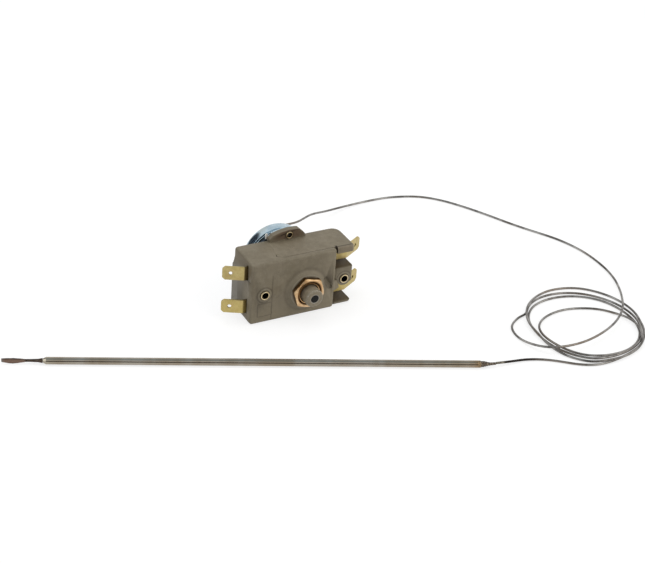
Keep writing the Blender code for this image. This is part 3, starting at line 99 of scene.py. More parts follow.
# Capillary
CAPILLARY_RADIUS = 0.0005
CAPILLARY_SIDES = 12
CAPILLARY_STEP = 0.0011
CAPILLARY_SMOOTHINGS = 6
LEAD_ROUTE = (
    (0.0239, 0.0333, 0.0144), (0.0239, 0.0370, 0.0144), (0.0262, 0.0430, 0.0142),
    (0.0325, 0.0486, 0.0137), (0.0405, 0.0518, 0.0127), (0.0484, 0.0549, 0.0110),
    (0.0619, 0.0655, 0.0070), (0.0733, 0.0716, 0.0035), (0.0859, 0.0764, 0.0012),
    (0.1006, 0.0782, 0.0006), (0.1120, 0.0776, 0.0006), (0.1253, 0.0732, 0.0006),
    (0.1335, 0.0663, 0.0006), (0.1403, 0.0570, 0.0006), (0.1471, 0.0453, 0.0006),
    (0.1528, 0.0343, 0.0006), (0.1580, 0.0255, 0.0006), (0.1625, 0.0185, 0.0006),
    (0.1663, 0.0115, 0.0006), (0.1702, -0.0012, 0.0006), (0.1707, -0.0168, 0.0006),
    (0.1686, -0.0271, 0.0007), (0.1660, -0.0328, 0.0012), (0.1626, -0.0389, 0.0022),
    (0.1596, -0.0435, 0.0030), (0.1558, -0.0493, 0.0031), (0.1488, -0.0561, 0.0031),
    (0.1418, -0.0606, 0.0031), (0.1331, -0.0642, 0.0030), (0.1234, -0.0666, 0.0030),
    (0.1157, -0.0670, 0.0031), (0.1113, -0.0664, 0.0031), (0.1066, -0.0649, 0.0030),
    (0.1038, -0.0617, 0.0023), (0.1017, -0.0566, 0.0012), (0.1005, -0.0511, 0.0006),
    (0.1012, -0.0451, 0.0006), (0.1033, -0.0414, 0.0006), (0.1060, -0.0395, 0.0006),
)
LEAD_INTO_COIL = ((0.1084, -0.0381, 0.0006), (0.1104, -0.0370, 0.0007))
COIL_OUT = ((0.1465, -0.0750, 0.0015), (0.1338, -0.0798, 0.0013))
TAIL_ROUTE = (
    (0.1232, -0.0804, 0.0006), (0.1180, -0.0795, 0.0006), (0.1125, -0.0768, 0.0006),
    (0.1070, -0.0725, 0.0006), (0.1015, -0.0687, 0.0006), (0.0945, -0.0659, 0.0007),
    (0.0864, -0.0650, 0.0011), (0.0803, -0.0643, 0.0015),
)

# Each turn of the coil, clockwise from above: angle in degrees, radius and height in millimetres
COIL_CENTRE = (0.1330, -0.0545)
COIL_POINTS_A_TURN = 36
COIL_TURNS = (
    (137, 26.1, 0.6), (110, 28.6, 0.6), (85, 30.8, 0.6), (62, 31.6, 0.6), (40, 30.2, 0.6),
    (11, 27.7, 0.6), (-13, 25.1, 0.6), (-49, 24.2, 0.6), (-76, 24.5, 0.6), (-101, 25.1, 0.6),
    (-124, 27.0, 0.6), (-144, 26.3, 0.7), (-164, 24.8, 0.9),
    (-186, 23.6, 1.5), (-214, 25.6, 1.5), (-237, 26.8, 1.5), (-262, 27.3, 0.9), (-283, 27.4, 0.6),
    (-301, 26.9, 0.6), (-320, 26.1, 0.6), (-348, 24.6, 1.0), (-381, 23.4, 1.4), (-407, 23.4, 1.3),
    (-435, 22.9, 1.0), (-456, 23.1, 0.7), (-482, 24.5, 0.6), (-502, 24.0, 0.6), (-530, 23.4, 0.6),
    (-551, 23.4, 0.6), (-577, 24.9, 0.6), (-599, 25.4, 0.6), (-630, 24.7, 0.6), (-660, 24.3, 0.6),
    (-681, 24.0, 0.6), (-711, 22.8, 0.6), (-742, 22.6, 0.6), (-779, 22.3, 0.6), (-814, 21.8, 0.6),
    (-852, 23.0, 1.0), (-884, 22.6, 1.5),
    (-904, 22.4, 1.5), (-917, 21.5, 1.3), (-939, 18.7, 0.8), (-956, 16.8, 0.6), (-975, 15.3, 0.6),
    (-998, 14.5, 0.6), (-1019, 14.6, 0.6), (-1040, 16.0, 0.6), (-1067, 18.4, 0.7),
    (-1085, 20.9, 1.2), (-1102, 22.2, 1.7), (-1118, 23.1, 2.1),
)


def soft_path(points, step):
    """Even points along a centripetal Catmull-Rom curve: each is read from its stretch of the curve
    by the three levels of weighted means between knots that are the square roots of the chords."""
    route = np.array(points, float)
    route = np.vstack([2 * route[0] - route[1], route, 2 * route[-1] - route[-2]])
    knots = np.concatenate([[0], np.cumsum(np.linalg.norm(np.diff(route, axis=0), axis=1) ** 0.5)])
    share = np.linspace(0, 1, 24, endpoint=False)[:, None, None]
    t0, t1, t2, t3 = (knots[i:len(knots) - 3 + i, None] for i in range(4))
    p0, p1, p2, p3 = (route[i:len(route) - 3 + i] for i in range(4))
    t = t1 + (t2 - t1) * share
    a1 = (t1 - t) / (t1 - t0) * p0 + (t - t0) / (t1 - t0) * p1
    a2 = (t2 - t) / (t2 - t1) * p1 + (t - t1) / (t2 - t1) * p2
    a3 = (t3 - t) / (t3 - t2) * p2 + (t - t2) / (t3 - t2) * p3
    b1 = (t2 - t) / (t2 - t0) * a1 + (t - t0) / (t2 - t0) * a2
    b2 = (t3 - t) / (t3 - t1) * a2 + (t - t1) / (t3 - t1) * a3
    curve = (t2 - t) / (t2 - t1) * b1 + (t - t1) / (t2 - t1) * b2
    fine = np.vstack([curve.transpose(1, 0, 2).reshape(-1, 3), route[-2]])
    length = np.concatenate([[0], np.cumsum(np.linalg.norm(np.diff(fine, axis=0), axis=1))])
    even = np.linspace(0, length[-1], int(length[-1] / step) + 1)
    return np.stack([np.interp(even, length, fine[:, axis]) for axis in range(3)], axis=1)


def coil_points():
    """The turns of the coil: a point at every even angle, at centre + radius * (cos angle, sin
    angle). Its radius and height are read between the chosen ones in proportion to the angle."""
    angles, radii, heights = np.array(COIL_TURNS, float).T
    count = round((angles[0] - angles[-1]) / 360 * COIL_POINTS_A_TURN)
    angle = np.linspace(angles[0], angles[-1], count + 1)
    radius = np.interp(-angle, -angles, radii) * MM
    height = np.interp(-angle, -angles, heights) * MM
    x = COIL_CENTRE[0] + radius * np.cos(np.radians(angle))
    y = COIL_CENTRE[1] + radius * np.sin(np.radians(angle))
    return list(np.stack([x, y, height], axis=1))


def capillary_path():
    """The whole tube's centreline in the frame: lead, coil and tail on one curve, smoothed by taking
    half of each point and a quarter of each of its neighbours, a few times over."""
    route = list(LEAD_ROUTE) + list(LEAD_INTO_COIL) + coil_points() + list(COIL_OUT) + list(TAIL_ROUTE)
    path = soft_path(route, CAPILLARY_STEP)
    for _ in range(CAPILLARY_SMOOTHINGS):
        path[1:-1] = path[1:-1] / 2 + (path[:-2] + path[2:]) / 4
    return path + HOUSING


def in_frame(points):
    """Points in the housing's millimetres, put in the frame."""
    return points * MM + HOUSING


def put(name, data):
    """An object at the origin for a mesh, a lamp or a camera."""
    item = bpy.data.objects.new(name, data)
    bpy.context.scene.collection.objects.link(item)
    return item


def grid_faces(rows, columns, closed_rows=False):
    """Four corners of each cell of a grid whose columns wrap round, and its rows too where asked."""
    row = np.arange(rows if closed_rows else rows - 1)[:, None]
    column = np.arange(columns)[None, :]
    next_row = (row + 1) % rows
    next_column = (column + 1) % columns
    corners = np.broadcast_arrays(row * columns + column, row * columns + next_column,
                                  next_row * columns + next_column, next_row * columns + column)
    return np.stack(corners, axis=-1).reshape(-1, 4)


def surface(name, rings, finish, body="housing", closed_rows=False, sharp=40.0):
    """A skin through rings of points, as an array of rings by points by three. Open ends get a
    flat cap. Its own UV map holds the length along the skin and the share round it, which is 1
    and not 0 where a ring's last cell ends."""
    rows, columns = rings.shape[:2]
    data = bpy.data.meshes.new(name)
    cells = grid_faces(rows, columns, closed_rows)
    faces = cells.tolist()
    if not closed_rows:
        faces += [list(range(columns))[::-1], list(range((rows - 1) * columns, rows * columns))]
    data.from_pydata(rings.reshape(-1, 3).tolist(), [], faces)
    middle = rings.mean(axis=1)
    along = np.concatenate([[0], np.cumsum(np.linalg.norm(np.diff(middle, axis=0), axis=1))])
    loops = np.zeros(len(data.loops), int)
    data.loops.foreach_get("vertex_index", loops)
    round_share = (loops % columns) / columns
    cell_loops = 4 * len(cells)
    round_share[:cell_loops] = np.where(
        np.tile([False, True, True, False], len(cells)) & (round_share[:cell_loops] == 0), 1.0,
        round_share[:cell_loops])
    uv = np.stack([along[loops // columns], round_share], axis=1)
    layer = data.uv_layers.new(name="skin")
    layer.data.foreach_set("uv", uv.astype(np.float32).ravel())
    shape = bmesh.new()
    shape.from_mesh(data)
    bmesh.ops.remove_doubles(shape, verts=shape.verts, dist=1e-7)
    bmesh.ops.recalc_face_normals(shape, faces=shape.faces)
    shape.to_mesh(data)
    shape.free()
    data.shade_smooth()
    data.set_sharp_from_angle(angle=math.radians(sharp))
    data.materials.append(finish)
    piece = put(name, data)
    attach(piece, body)
    return piece


def rings_round(centre, radius, depth, sides=96):
    """Rings round an axis along Y through centre, from radii and depths by rings or by rings and
    angles: the point at an angle is centre + radius * (cos angle, sin angle) in X and Z."""
    angle = np.linspace(0, TURN, sides, endpoint=False)[None, :]
    x = centre[0] + radius * np.cos(angle)
    z = centre[1] + radius * np.sin(angle)
    return in_frame(np.stack([x, np.broadcast_to(depth, x.shape), z], axis=-1))


def rounded(points, closed=False, steps=5):
    """A profile whose corners are given as (radius, y, rounding). Each corner becomes a short curve
    that leaves one side and meets the next at the rounding's distance."""
    path = []
    count = len(points)
    for i, (radius, depth, rounding) in enumerate(points):
        corner = np.array([radius, depth], float)
        if not rounding or (not closed and i in (0, count - 1)):
            path.append(corner)
            continue
        before = np.array(points[i - 1][:2], float) - corner
        after = np.array(points[(i + 1) % count][:2], float) - corner
        start = corner + before / np.linalg.norm(before) * rounding
        end = corner + after / np.linalg.norm(after) * rounding
        for share in np.linspace(0, 1, steps):
            path.append((1 - share) ** 2 * start + 2 * share * (1 - share) * corner + share ** 2 * end)
    return path


def turned(name, profile, centre, slot, node=None, body="housing", closed=False, sides=96, sharp=50.0,
           finish=None):
    """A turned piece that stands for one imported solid, or for the one that node names: a profile of
    (radius, y, rounding) carried round an axis along Y."""
    radius, depth = np.array(rounded(profile, closed), float).T[:, :, None]
    rings = rings_round(centre, radius, depth, sides)
    piece = surface(name, rings, FINISHES[finish or slot], body, closed_rows=closed, sharp=sharp)
    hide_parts(node or name)
    return piece


def tube_rings(path, radius, sides):
    """A circle round every point of a path, square to it. The circle's first direction is carried
    from point to point and made square to the path again, so the tube isn't twisted."""
    tangent = np.gradient(path, axis=0)
    tangent /= np.linalg.norm(tangent, axis=1)[:, None]
    first = np.cross(tangent, [0.0, 0.0, 1.0])
    first /= np.linalg.norm(first, axis=1)[:, None]
    second = np.cross(first, tangent)
    angle = np.linspace(0, TURN, sides, endpoint=False)[None, :, None]
    radius = np.broadcast_to(radius, len(path))[:, None, None]
    return path[:, None] + radius * (np.cos(angle) * first[:, None] + np.sin(angle) * second[:, None])


class Socket:
    """A node's output. Arithmetic on it adds Math nodes, whose values are sockets or numbers."""

    def __init__(self, nodes, output):
        self.nodes = nodes
        self.output = output

    def math(self, operation, *values):
        return self.nodes.node("ShaderNodeMath", {"operation": operation}, dict(enumerate(values)))

    def __add__(self, other):
        return self.math("ADD", self, other)

    def __sub__(self, other):
        return self.math("SUBTRACT", self, other)

    def __rsub__(self, other):
        return self.math("SUBTRACT", other, self)

    def __mul__(self, other):
        return self.math("MULTIPLY", self, other)

    def __truediv__(self, other):
        return self.math("DIVIDE", self, other)

    def __rtruediv__(self, other):
        return self.math("DIVIDE", other, self)

    def __pow__(self, other):
        return self.math("POWER", self, other)

    def __abs__(self):
        return self.math("ABSOLUTE", self)

    __radd__ = __add__
    __rmul__ = __mul__

    def at_most(self, top):
        return self.math("MINIMUM", self, top)

    def step(self, low, high):
        """0 below low, 1 above high and smooth between."""
        return self.nodes.node("ShaderNodeMapRange", {"interpolation_type": "SMOOTHSTEP"}, {
            "Value": self, "From Min": low, "From Max": high})

    def fall(self, low, high):
        """1 below low, 0 above high and smooth between."""
        return 1 - self.step(low, high)

    def between(self, low, high, soft=0.3):
        """1 between two places. It fades from soft before each place to soft after it."""
        return self.step(low - soft, low + soft) * self.fall(high - soft, high + soft)

    def line(self, place, half_width, soft=0.12):
        """1 on a line at a place, 0 beside it."""
        return abs(self - place).fall(half_width - soft, half_width + soft)


class Nodes:
    """The nodes of a material or of the world."""

    def __init__(self, owner):
        owner.use_nodes = True
        self.tree = owner.node_tree

    def node(self, kind, settings=None, inputs=None, output=0):
        """A node of a kind, with its settings, the values or links of its inputs, and one output."""
        made = self.tree.nodes.new(kind)
        for setting, value in (settings or {}).items():
            setattr(made, setting, value)
        for key, value in (inputs or {}).items():
            self.feed(made.inputs[key], value)
        return Socket(self, made.outputs[output])

    def feed(self, socket, value):
        if isinstance(value, Socket):
            self.tree.links.new(value.output, socket)
        else:
            socket.default_value = value

    def show(self, shader, ready="Principled BSDF", end="Material Output"):
        """The shader takes the place of the ready-made one at the end."""
        self.tree.nodes.remove(self.tree.nodes[ready])
        self.feed(self.tree.nodes[end].inputs["Surface"], shader)


class Finish(Nodes):
    """A material with a Principled shader. Its colour is painted in layers."""

    def __init__(self, name, colour, roughness, metallic=0.0, **sockets):
        self.material = bpy.data.materials.new(name)
        super().__init__(self.material)
        self.shader = self.tree.nodes["Principled BSDF"]
        self.set(Base_Color=(*colour, 1.0), Roughness=roughness, Metallic=metallic, **sockets)
        self.coordinates = self.node("ShaderNodeTexCoord", output="Object")

    def set(self, **sockets):
        for name, value in sockets.items():
            self.feed(self.shader.inputs[name.replace("_", " ")], value)

    def place(self, scale=(1, 1, 1), move=(0, 0, 0), turn=(0, 0, 0)):
        """Object coordinates in millimetres, moved, turned and stretched."""
        return self.node("ShaderNodeMapping", {}, {
            "Vector": self.coordinates, "Scale": tuple(size / MM for size in scale),
            "Location": move, "Rotation": turn})

    def part(self, name, vector):
        return self.node("ShaderNodeSeparateXYZ", {}, {0: vector}, output=name)

    def housing_axes(self):
        """Coordinates in the housing's own millimetres."""
        across, deep, high = (self.part(name, self.coordinates) * (1 / MM) for name in "XYZ")
        return across - HOUSING_X / MM, deep - HOUSING_Y / MM, high

    def noise(self, size, detail=3.0, roughness=0.55, **place):
        """Noise whose lumps are about size millimetres across."""
        return self.node("ShaderNodeTexNoise", {}, {
            "Vector": self.place(**place), "Scale": 1 / size, "Detail": detail, "Roughness": roughness})

    def noise_along(self, value, detail, roughness):
        """Noise that changes with one value only, once for each whole step of it."""
        return self.node("ShaderNodeTexNoise", {"noise_dimensions": "1D"}, {
            "W": value, "Scale": 1.0, "Detail": detail, "Roughness": roughness})

    def paint(self, share, tint, over=None):
        """A tint over the colour so far, or over a first one, by a share from 0 to 1."""
        under = (*over, 1.0) if over else self.colour
        self.colour = self.node("ShaderNodeMix", {"data_type": "RGBA"}, {
            0: share, 6: under, 7: (*tint, 1.0)}, output=2)

    def done(self, roughness, height, depth):
        """The material, with its painted colour, its roughness, and relief of a depth in millimetres
        where height runs from 0 to 1."""
        normal = self.node("ShaderNodeBump", {}, {"Height": height, "Distance": depth * MM})
        self.set(Base_Color=self.colour, Roughness=roughness, Normal=normal)
        return self.material


def ring_distance(x, z, centre):
    """Distance from an axis along Y, in millimetres: the root of across squared plus up squared."""
    across, up = x - centre[0], z - centre[1]
    return (across * across + up * up) ** 0.5


def moulded_finish():
    """Grey-brown thermoset: soft mottling, mineral specks and a matt grain, painted shade in the corners
    round the nut and the rivets, in the pockets and in the slit, painted light and shade on the boss's
    cone and on the left end, painted highlights on the boss's rim and the cover's edge, paler rings
    round the rivets, a faint moulded frame and rib in front."""
    finish = Finish("moulded_body", (0.195, 0.168, 0.122), 0.62)
    x, y, z = finish.housing_axes()
    paint, dark, pale, warm = finish.paint, (0.062, 0.045, 0.024), (0.31, 0.275, 0.205), (0.30, 0.255, 0.175)
    mottle = finish.noise(7.0, 4.0)
    cloud = finish.noise(2.2, 3.0, 0.5, move=(11, 3, 5))
    grain = finish.noise(0.30, 3.0, 0.7)
    paint((mottle * 0.6 + cloud * 0.4).step(0.38, 0.62), (0.206, 0.173, 0.117), over=(0.166, 0.137, 0.088))
    streaks = finish.noise(1.4, 3.0, 0.5, scale=(1.0, 1.0, 0.10))
    paint(streaks.step(0.40, 0.70) * 0.28, (0.148, 0.122, 0.080))
    pale_flecks = finish.noise(0.45, 2.0, 0.5).step(0.64, 0.74)
    paint(pale_flecks * 0.35, pale)
    dark_flecks = finish.noise(0.7, 2.0, 0.5, move=(40, 7, 3)).step(0.66, 0.74)
    paint(dark_flecks * 0.40, dark)
    dust = finish.noise(3.5, 4.0, 0.6, move=(5, 60, 9)).step(0.52, 0.78)
    paint(dust * 0.22, (0.26, 0.23, 0.18))

    # Left end, with painted shade on its upper part and a cool grey painted reflection below it; foot and
    # right side of the front
    front, left = y.fall(0.15, 0.6), x.fall(0.0, 0.5)
    # Painted shade on the upper part of the left end, then a cool grey painted reflection lower down
    paint(left * z.step(17.0, 24.0) * 0.85, (0.138, 0.108, 0.064))
    paint(left * y.step(2.0, 13.0) * z.fall(19.0, 25.0) * 0.80, (0.205, 0.188, 0.160))
    paint(z.fall(1.0, 13.0) * front * 0.42, warm)
    paint(front * x.step(31.0, 38.0) * 0.28, warm)

    # Boss: painted light on the upper side of its cone and painted shade below, painted shade in the corner
    # at its foot, a painted highlight on its rim, a paler top, painted shade round the nut and in a shallow
    # hollow beside it
    from_bush = ring_distance(x, z, BUSH)
    lit_upper_side = ((z - BUSH[1]) / from_bush).step(-0.35, 0.85)
    cone = front * from_bush.step(7.45, 7.75) * from_bush.fall(8.6, 9.4)
    # Painted shade on the lower side of the cone, painted light on its upper side
    paint(cone * (1 - lit_upper_side) * 0.10, dark)
    paint(cone * lit_upper_side * 0.26, (0.27, 0.225, 0.15))
    # Painted shade in the corner at the boss's foot
    paint(from_bush.line(9.7, 0.4, 1.0) * front * 0.40, dark)
    boss_top = y.fall(-1.55, -1.35) * from_bush.fall(7.3, 7.6)
    paint(boss_top * 0.22, pale)
    # Painted highlight along the boss's rim
    paint(from_bush.line(7.42, 0.16) * front * 0.55, pale)
    # Painted shade round the nut
    paint(from_bush.fall(6.5, 6.95) * front * 0.60, dark)
    # Painted shade in a shallow hollow between the boss and the right rivet
    hollow, squeeze = (35.9, 13.4), 1.15
    from_hollow_shade = ring_distance(x * squeeze - hollow[0] * (squeeze - 1), z, hollow)
    paint(from_hollow_shade.fall(0.8, 4.4) * front * 0.60, dark)

    # Round each rivet: a paler ring, painted shade at the foot of its head, and a painted shadow along the
    # edge of its pad
    for name, near in (("rivet_left", front), ("rivet_right", x.step(39.8, 40.0))):
        from_rivet = ring_distance(x, z, RIVETS[name][:2])
        near = near * y.fall(1.5, 1.9)
        paint(from_rivet.between(2.3, 3.2, 0.15) * near * 0.22, pale)
        paint(from_rivet.fall(2.15, 2.5) * near * 0.75, dark)
        paint(from_rivet.line(3.45, 0.28, 0.25) * near * 0.45, dark)

    # Ear: a reddish brown front round its rivet and darker overall, with painted shade on its left side and
    # round its rivet
    above = z.step(28.4, 29.6)
    ear_front = above * y.fall(15.2, 15.6)
    from_ear_rivet = ring_distance(x, z, RIVETS["rivet_ear"][:2])
    paint(ear_front * from_ear_rivet.fall(3.0, 9.5) * (cloud * 0.6 + 0.42), (0.112, 0.062, 0.034))
    paint(above * 0.15, dark)
    # Painted shade on the ear's left side
    paint(z.step(28.8, 29.6) * x.fall(14.9, 15.4) * 0.6, dark)
    # Painted shade round the ear's rivet
    paint(ear_front * from_ear_rivet.fall(1.7, 2.6) * 0.5, dark)

    # Painted shade in the terminal pockets and in the slit beside the web, a dark line along the top of the
    # lip over the pockets, a browner lip face, a painted highlight on the cover's right edge, and a darker
    # foot
    inside = x.step(39.6, 40.2) * y.step(1.5, 2.4) * y.fall(16.6, 17.0)
    # Painted shade inside the terminal pockets
    pocket_shade = inside * z.fall(25.0, 25.5) * z.step(0.9, 1.2)
    paint(pocket_shade * 0.80, (0.074, 0.046, 0.015))
    # Painted shade in the slit beside the web
    slit_shade = x.between(39.2, 40.25, 0.08) * y.step(0.35, 0.7) * y.fall(2.9, 3.3) * z.step(20.5, 21.5)
    paint(slit_shade * 0.85, (0.030, 0.020, 0.010))
    lip = x.step(40.0, 40.3)
    paint(y.line(2.15, 0.17) * lip * z.step(27.9, 28.2) * 0.85, (0.03, 0.022, 0.014))
    paint(lip * z.step(25.2, 25.4) * y.fall(1.6, 2.0) * 0.30, (0.22, 0.165, 0.105))
    # Painted highlight on the cover's right edge
    paint(x.line(39.1, 0.16) * front * 0.40, pale)
    paint(z.fall(0.2, 0.9) * 0.35, dark)

    frame_left, frame_right, frame_foot, frame_top = 3.2, 9.6, 3.3, 9.4
    uprights = (x.line(frame_left, 0.2) + x.line(frame_right, 0.2)) * z.between(frame_foot, frame_top, 0.1)
    rails = (z.line(frame_foot, 0.2) + z.line(frame_top, 0.2)) * x.between(frame_left, frame_right, 0.1)
    rib = x.line(frame_right, 0.2) * z.between(1.5, 22.0)
    relief = ((uprights + rails + rib) * front).at_most(1.0)
    paint(relief * 0.40, dark)
    return finish.done(0.50 + grain * 0.22, grain * 0.5 + mottle * 0.8 + streaks * 0.4 - relief * 2.0, 0.06)


def satin_finish(name, colour, roughness, metallic=0.0, size=1.2, change=0.25, **sockets):
    """A finish whose colour and roughness vary softly, with a fine grain."""
    finish = Finish(name, colour, roughness, metallic, **sockets)
    cloud = finish.noise(size, 4.0)
    finish.paint(cloud.step(*CLOUD_EDGES), colour, over=tuple(part * (1 - change) for part in colour))
    return finish.done(roughness - 0.06 + cloud * 0.12, finish.noise(0.25), 0.006)


def button_finish():
    """Beige moulded button: a paler rim round the pin, small chips at the top of its edge and painted
    shade where it goes into the bush."""
    finish = Finish("button_plastic", (0.200, 0.178, 0.135), 0.5)
    x, y, z = finish.housing_axes()
    paint, radius, face = finish.paint, ring_distance(x, z, BUSH), y.fall(-8.35, -7.9)
    cloud = finish.noise(1.1, 4.0)
    paint(cloud.step(*CLOUD_EDGES), (0.226, 0.188, 0.128), over=(0.180, 0.148, 0.096))
    paint(face * 0.22, (0.32, 0.275, 0.195))
    pin_rim = radius.between(1.72, 2.10, 0.10) * face
    paint(pin_rim * 0.6, (0.40, 0.38, 0.34))
    edge = radius.between(3.4, 4.1, 0.2) * face
    paint(edge * 0.20, (0.27, 0.245, 0.20))
    chips = finish.noise(0.5, 2.0).step(0.58, 0.64) * edge * z.step(BUSH[1] + 1.0, BUSH[1] + 2.4)
    paint(chips * 0.85, (0.52, 0.48, 0.42))
    # Painted shade where the button goes into the bush
    paint(y.step(-6.2, -4.6) * 0.65, (0.060, 0.045, 0.028))
    return finish.done(0.46 + cloud * 0.14, finish.noise(0.22), 0.010)


def brass_finish():
    """Turned brass: golden on the worked faces, with patches of dark tarnish, painted shade on the nut's
    sides, on the upper part of its face and in the gap round the bush, a painted highlight on the lower
    part, and dark rings of tarnish and painted shade in the thread.
    """
    finish = Finish("brass", (0.64, 0.40, 0.15), 0.28, 1.0)
    x, y, z = finish.housing_axes()
    paint, from_bush = finish.paint, ring_distance(x, z, BUSH)
    cloud = finish.noise(1.6, 4.0)
    tarnish = finish.noise(0.9, 3.0, 0.6, move=(9, 2, 4)).step(0.50, 0.72)
    paint(cloud.step(*CLOUD_EDGES), (0.66, 0.45, 0.245), over=(0.50, 0.285, 0.125))
    paint(tarnish * 0.45, (0.20, 0.115, 0.055))
    # Painted shade on the nut's sides, broken by lighter streaks
    sides = y.step(-3.75, -3.35) * from_bush.step(6.2, 6.35)
    side_streaks = finish.noise(0.5, 3.0, 0.6, scale=(1.0, 0.3, 1.0), move=(6, 6, 1))
    paint(sides * (1.0 - side_streaks * 0.35), (0.070, 0.040, 0.015))
    # Painted shade on the upper part of the nut's face, a painted highlight on its lower part
    upper = z.step(BUSH[1] + 0.5, BUSH[1] + 4.0)
    paint(from_bush.fall(5.75, 6.05) * upper * 0.7, (0.22, 0.125, 0.050))
    paint((1 - upper) * from_bush.step(5.3, 5.6) * 0.25, (0.80, 0.60, 0.38))
    # Painted shade in the gap between nut and bush and in the bush's bore
    gap_shade = from_bush.between(4.96, 5.22, 0.07) + from_bush.fall(4.34, 4.46)
    paint(gap_shade * 0.88, (0.035, 0.020, 0.010))
    # Dark rings of tarnish and painted shade in the thread
    thread = from_bush.line(4.74, 0.07, 0.06) + from_bush.line(5.56, 0.09, 0.08)
    paint(thread * 0.62, (0.13, 0.07, 0.03))
    turning = finish.noise(0.10, 2.0, 0.5, scale=(0.25, 1.0, 0.25))
    return finish.done(0.24 + cloud * 0.10 + tarnish * 0.14, turning, 0.004)


def rivet_finish():
    """Pale rolled brass of the hollow rivets, with painted shade that makes them nearly black inside
    their bores.
    """
    finish = Finish("rivet_brass", (0.64, 0.40, 0.15), 0.3, 1.0)
    x, y, z = finish.housing_axes()
    cloud = finish.noise(0.6)
    finish.paint(cloud.step(*CLOUD_EDGES), (0.74, 0.62, 0.40), over=(0.56, 0.42, 0.22))
    # Painted shade inside each rivet's bore
    for *centre, _, _, scale in RIVETS.values():
        hole = RIVET_HOLE_MM * scale
        bore = ring_distance(x, z, centre).fall(hole + 0.02, hole + 0.14)
        finish.paint(bore * 0.95, (0.018, 0.010, 0.004))
    return finish.done(0.24 + cloud * 0.16, cloud, 0.01)


def terminal_finish():
    """Rolled brass blades: golden olive, browner near the housing, with painted shade where they lie in
    the pockets, and fine rolling lines.
    """
    finish = Finish("terminal_brass", (0.56, 0.43, 0.15), 0.35, 1.0)
    x, y, z = finish.housing_axes()
    paint = finish.paint
    cloud = finish.noise(1.8, 4.0)
    rolling = finish.noise(0.35, 3.0, 0.6, scale=(0.12, 0.12, 1.0))
    paint(cloud.step(*CLOUD_EDGES), (0.520, 0.425, 0.190), over=(0.440, 0.345, 0.135))
    paint(rolling * 0.25, (0.60, 0.50, 0.26))
    root = x.step(-1.9, -1.3) * x.fall(30.0, 31.0)
    paint(root * 0.85, (0.080, 0.050, 0.020))
    # Painted shade on the blades where they lie in the pockets
    in_pocket_shade = x.between(30.0, 44.5, 1.2)
    paint(in_pocket_shade * 0.50, (0.20, 0.135, 0.045))
    paint(z.fall(8.0, 16.0) * 0.35, (0.47, 0.365, 0.105))
    blush = finish.noise(2.6, 3.0, 0.6, move=(7, 1, 2)).step(0.50, 0.70)
    paint(blush * 0.35, (0.50, 0.33, 0.165))
    spots = finish.noise(0.8, 3.0, 0.6, move=(2, 8, 1)).step(0.60, 0.72)
    paint(spots * 0.35, (0.23, 0.16, 0.06))
    return finish.done(0.32 + cloud * 0.12, rolling, 0.004)


def zinc_finish():
    """Bluish zinc plating with soft clouds, drawing lines round the cup, and painted shade, nearly black,
    in the groove between the beads of the cup's rim and on its narrower front, on its left side."""
    finish = Finish("zinc_steel", (0.42, 0.56, 0.66), 0.25, 1.0)
    x, y, z = finish.housing_axes()
    cloud = finish.noise(3.0, 4.0)
    lines = finish.noise(0.25, 3.0, 0.6, scale=(0.06, 1.0, 0.06))
    finish.paint(cloud.step(*CLOUD_EDGES), (0.47, 0.585, 0.650), over=(0.37, 0.475, 0.545))
    yellow = finish.noise(6.0, 3.0, 0.5, move=(3, 3, 8)).step(0.55, 0.75)
    finish.paint(yellow * 0.30, (0.52, 0.50, 0.36))
    from_cup = ring_distance(x, z, CUP)
    # Painted shade in the groove between the beads and on the cup's narrower front, on its left side
    rim = from_cup.step(12.3, 12.5) * from_cup.fall(14.4, 14.6) * y.step(22.0, 22.2) * x.fall(17.4, 18.4)
    groove_shade = y.between(24.12, 24.92, 0.07) + y.fall(23.62, 23.76)
    finish.paint(groove_shade * rim * 0.92, (0.016, 0.020, 0.025))
    return finish.done(0.14 + cloud * 0.10, lines, 0.004)


def bulb_finish():
    """Drawn stainless tube: long fine lines, soft brownish and grey stretches, a heat tint by its
    brazed end. The coordinates are turned so that X runs along the bulb."""
    finish = Finish("bulb_metal", (0.33, 0.31, 0.27), 0.30, 1.0)
    x, y, z = finish.housing_axes()
    paint, turn = finish.paint, math.atan2(-BULB_ALONG[1], BULB_ALONG[0])
    along = finish.part("X", finish.place(turn=(0.0, 0.0, turn)))
    stretch = finish.noise_along(along * 0.055, 3.0, 0.6)
    lines = finish.noise(0.30, 3.0, 0.6, scale=(0.02, 1.0, 1.0), turn=(0.0, 0.0, round(turn, 3)))
    cloud = finish.noise(2.5, 4.0)
    paint(stretch.step(*CLOUD_EDGES), (0.355, 0.322, 0.272), over=(0.275, 0.228, 0.168))
    paint(cloud.step(0.45, 0.75) * 0.35, (0.24, 0.19, 0.135))
    paint(x.step(62.0, 72.0) * 0.45, (0.28, 0.185, 0.10))
    paint(x.step(70.5, 72.6) * 0.6, (0.27, 0.175, 0.090))
    paint(x.fall(-88.0, -82.0) * 0.5, (0.40, 0.36, 0.27))
    return finish.done(0.16 + cloud * 0.10, lines, 0.004)


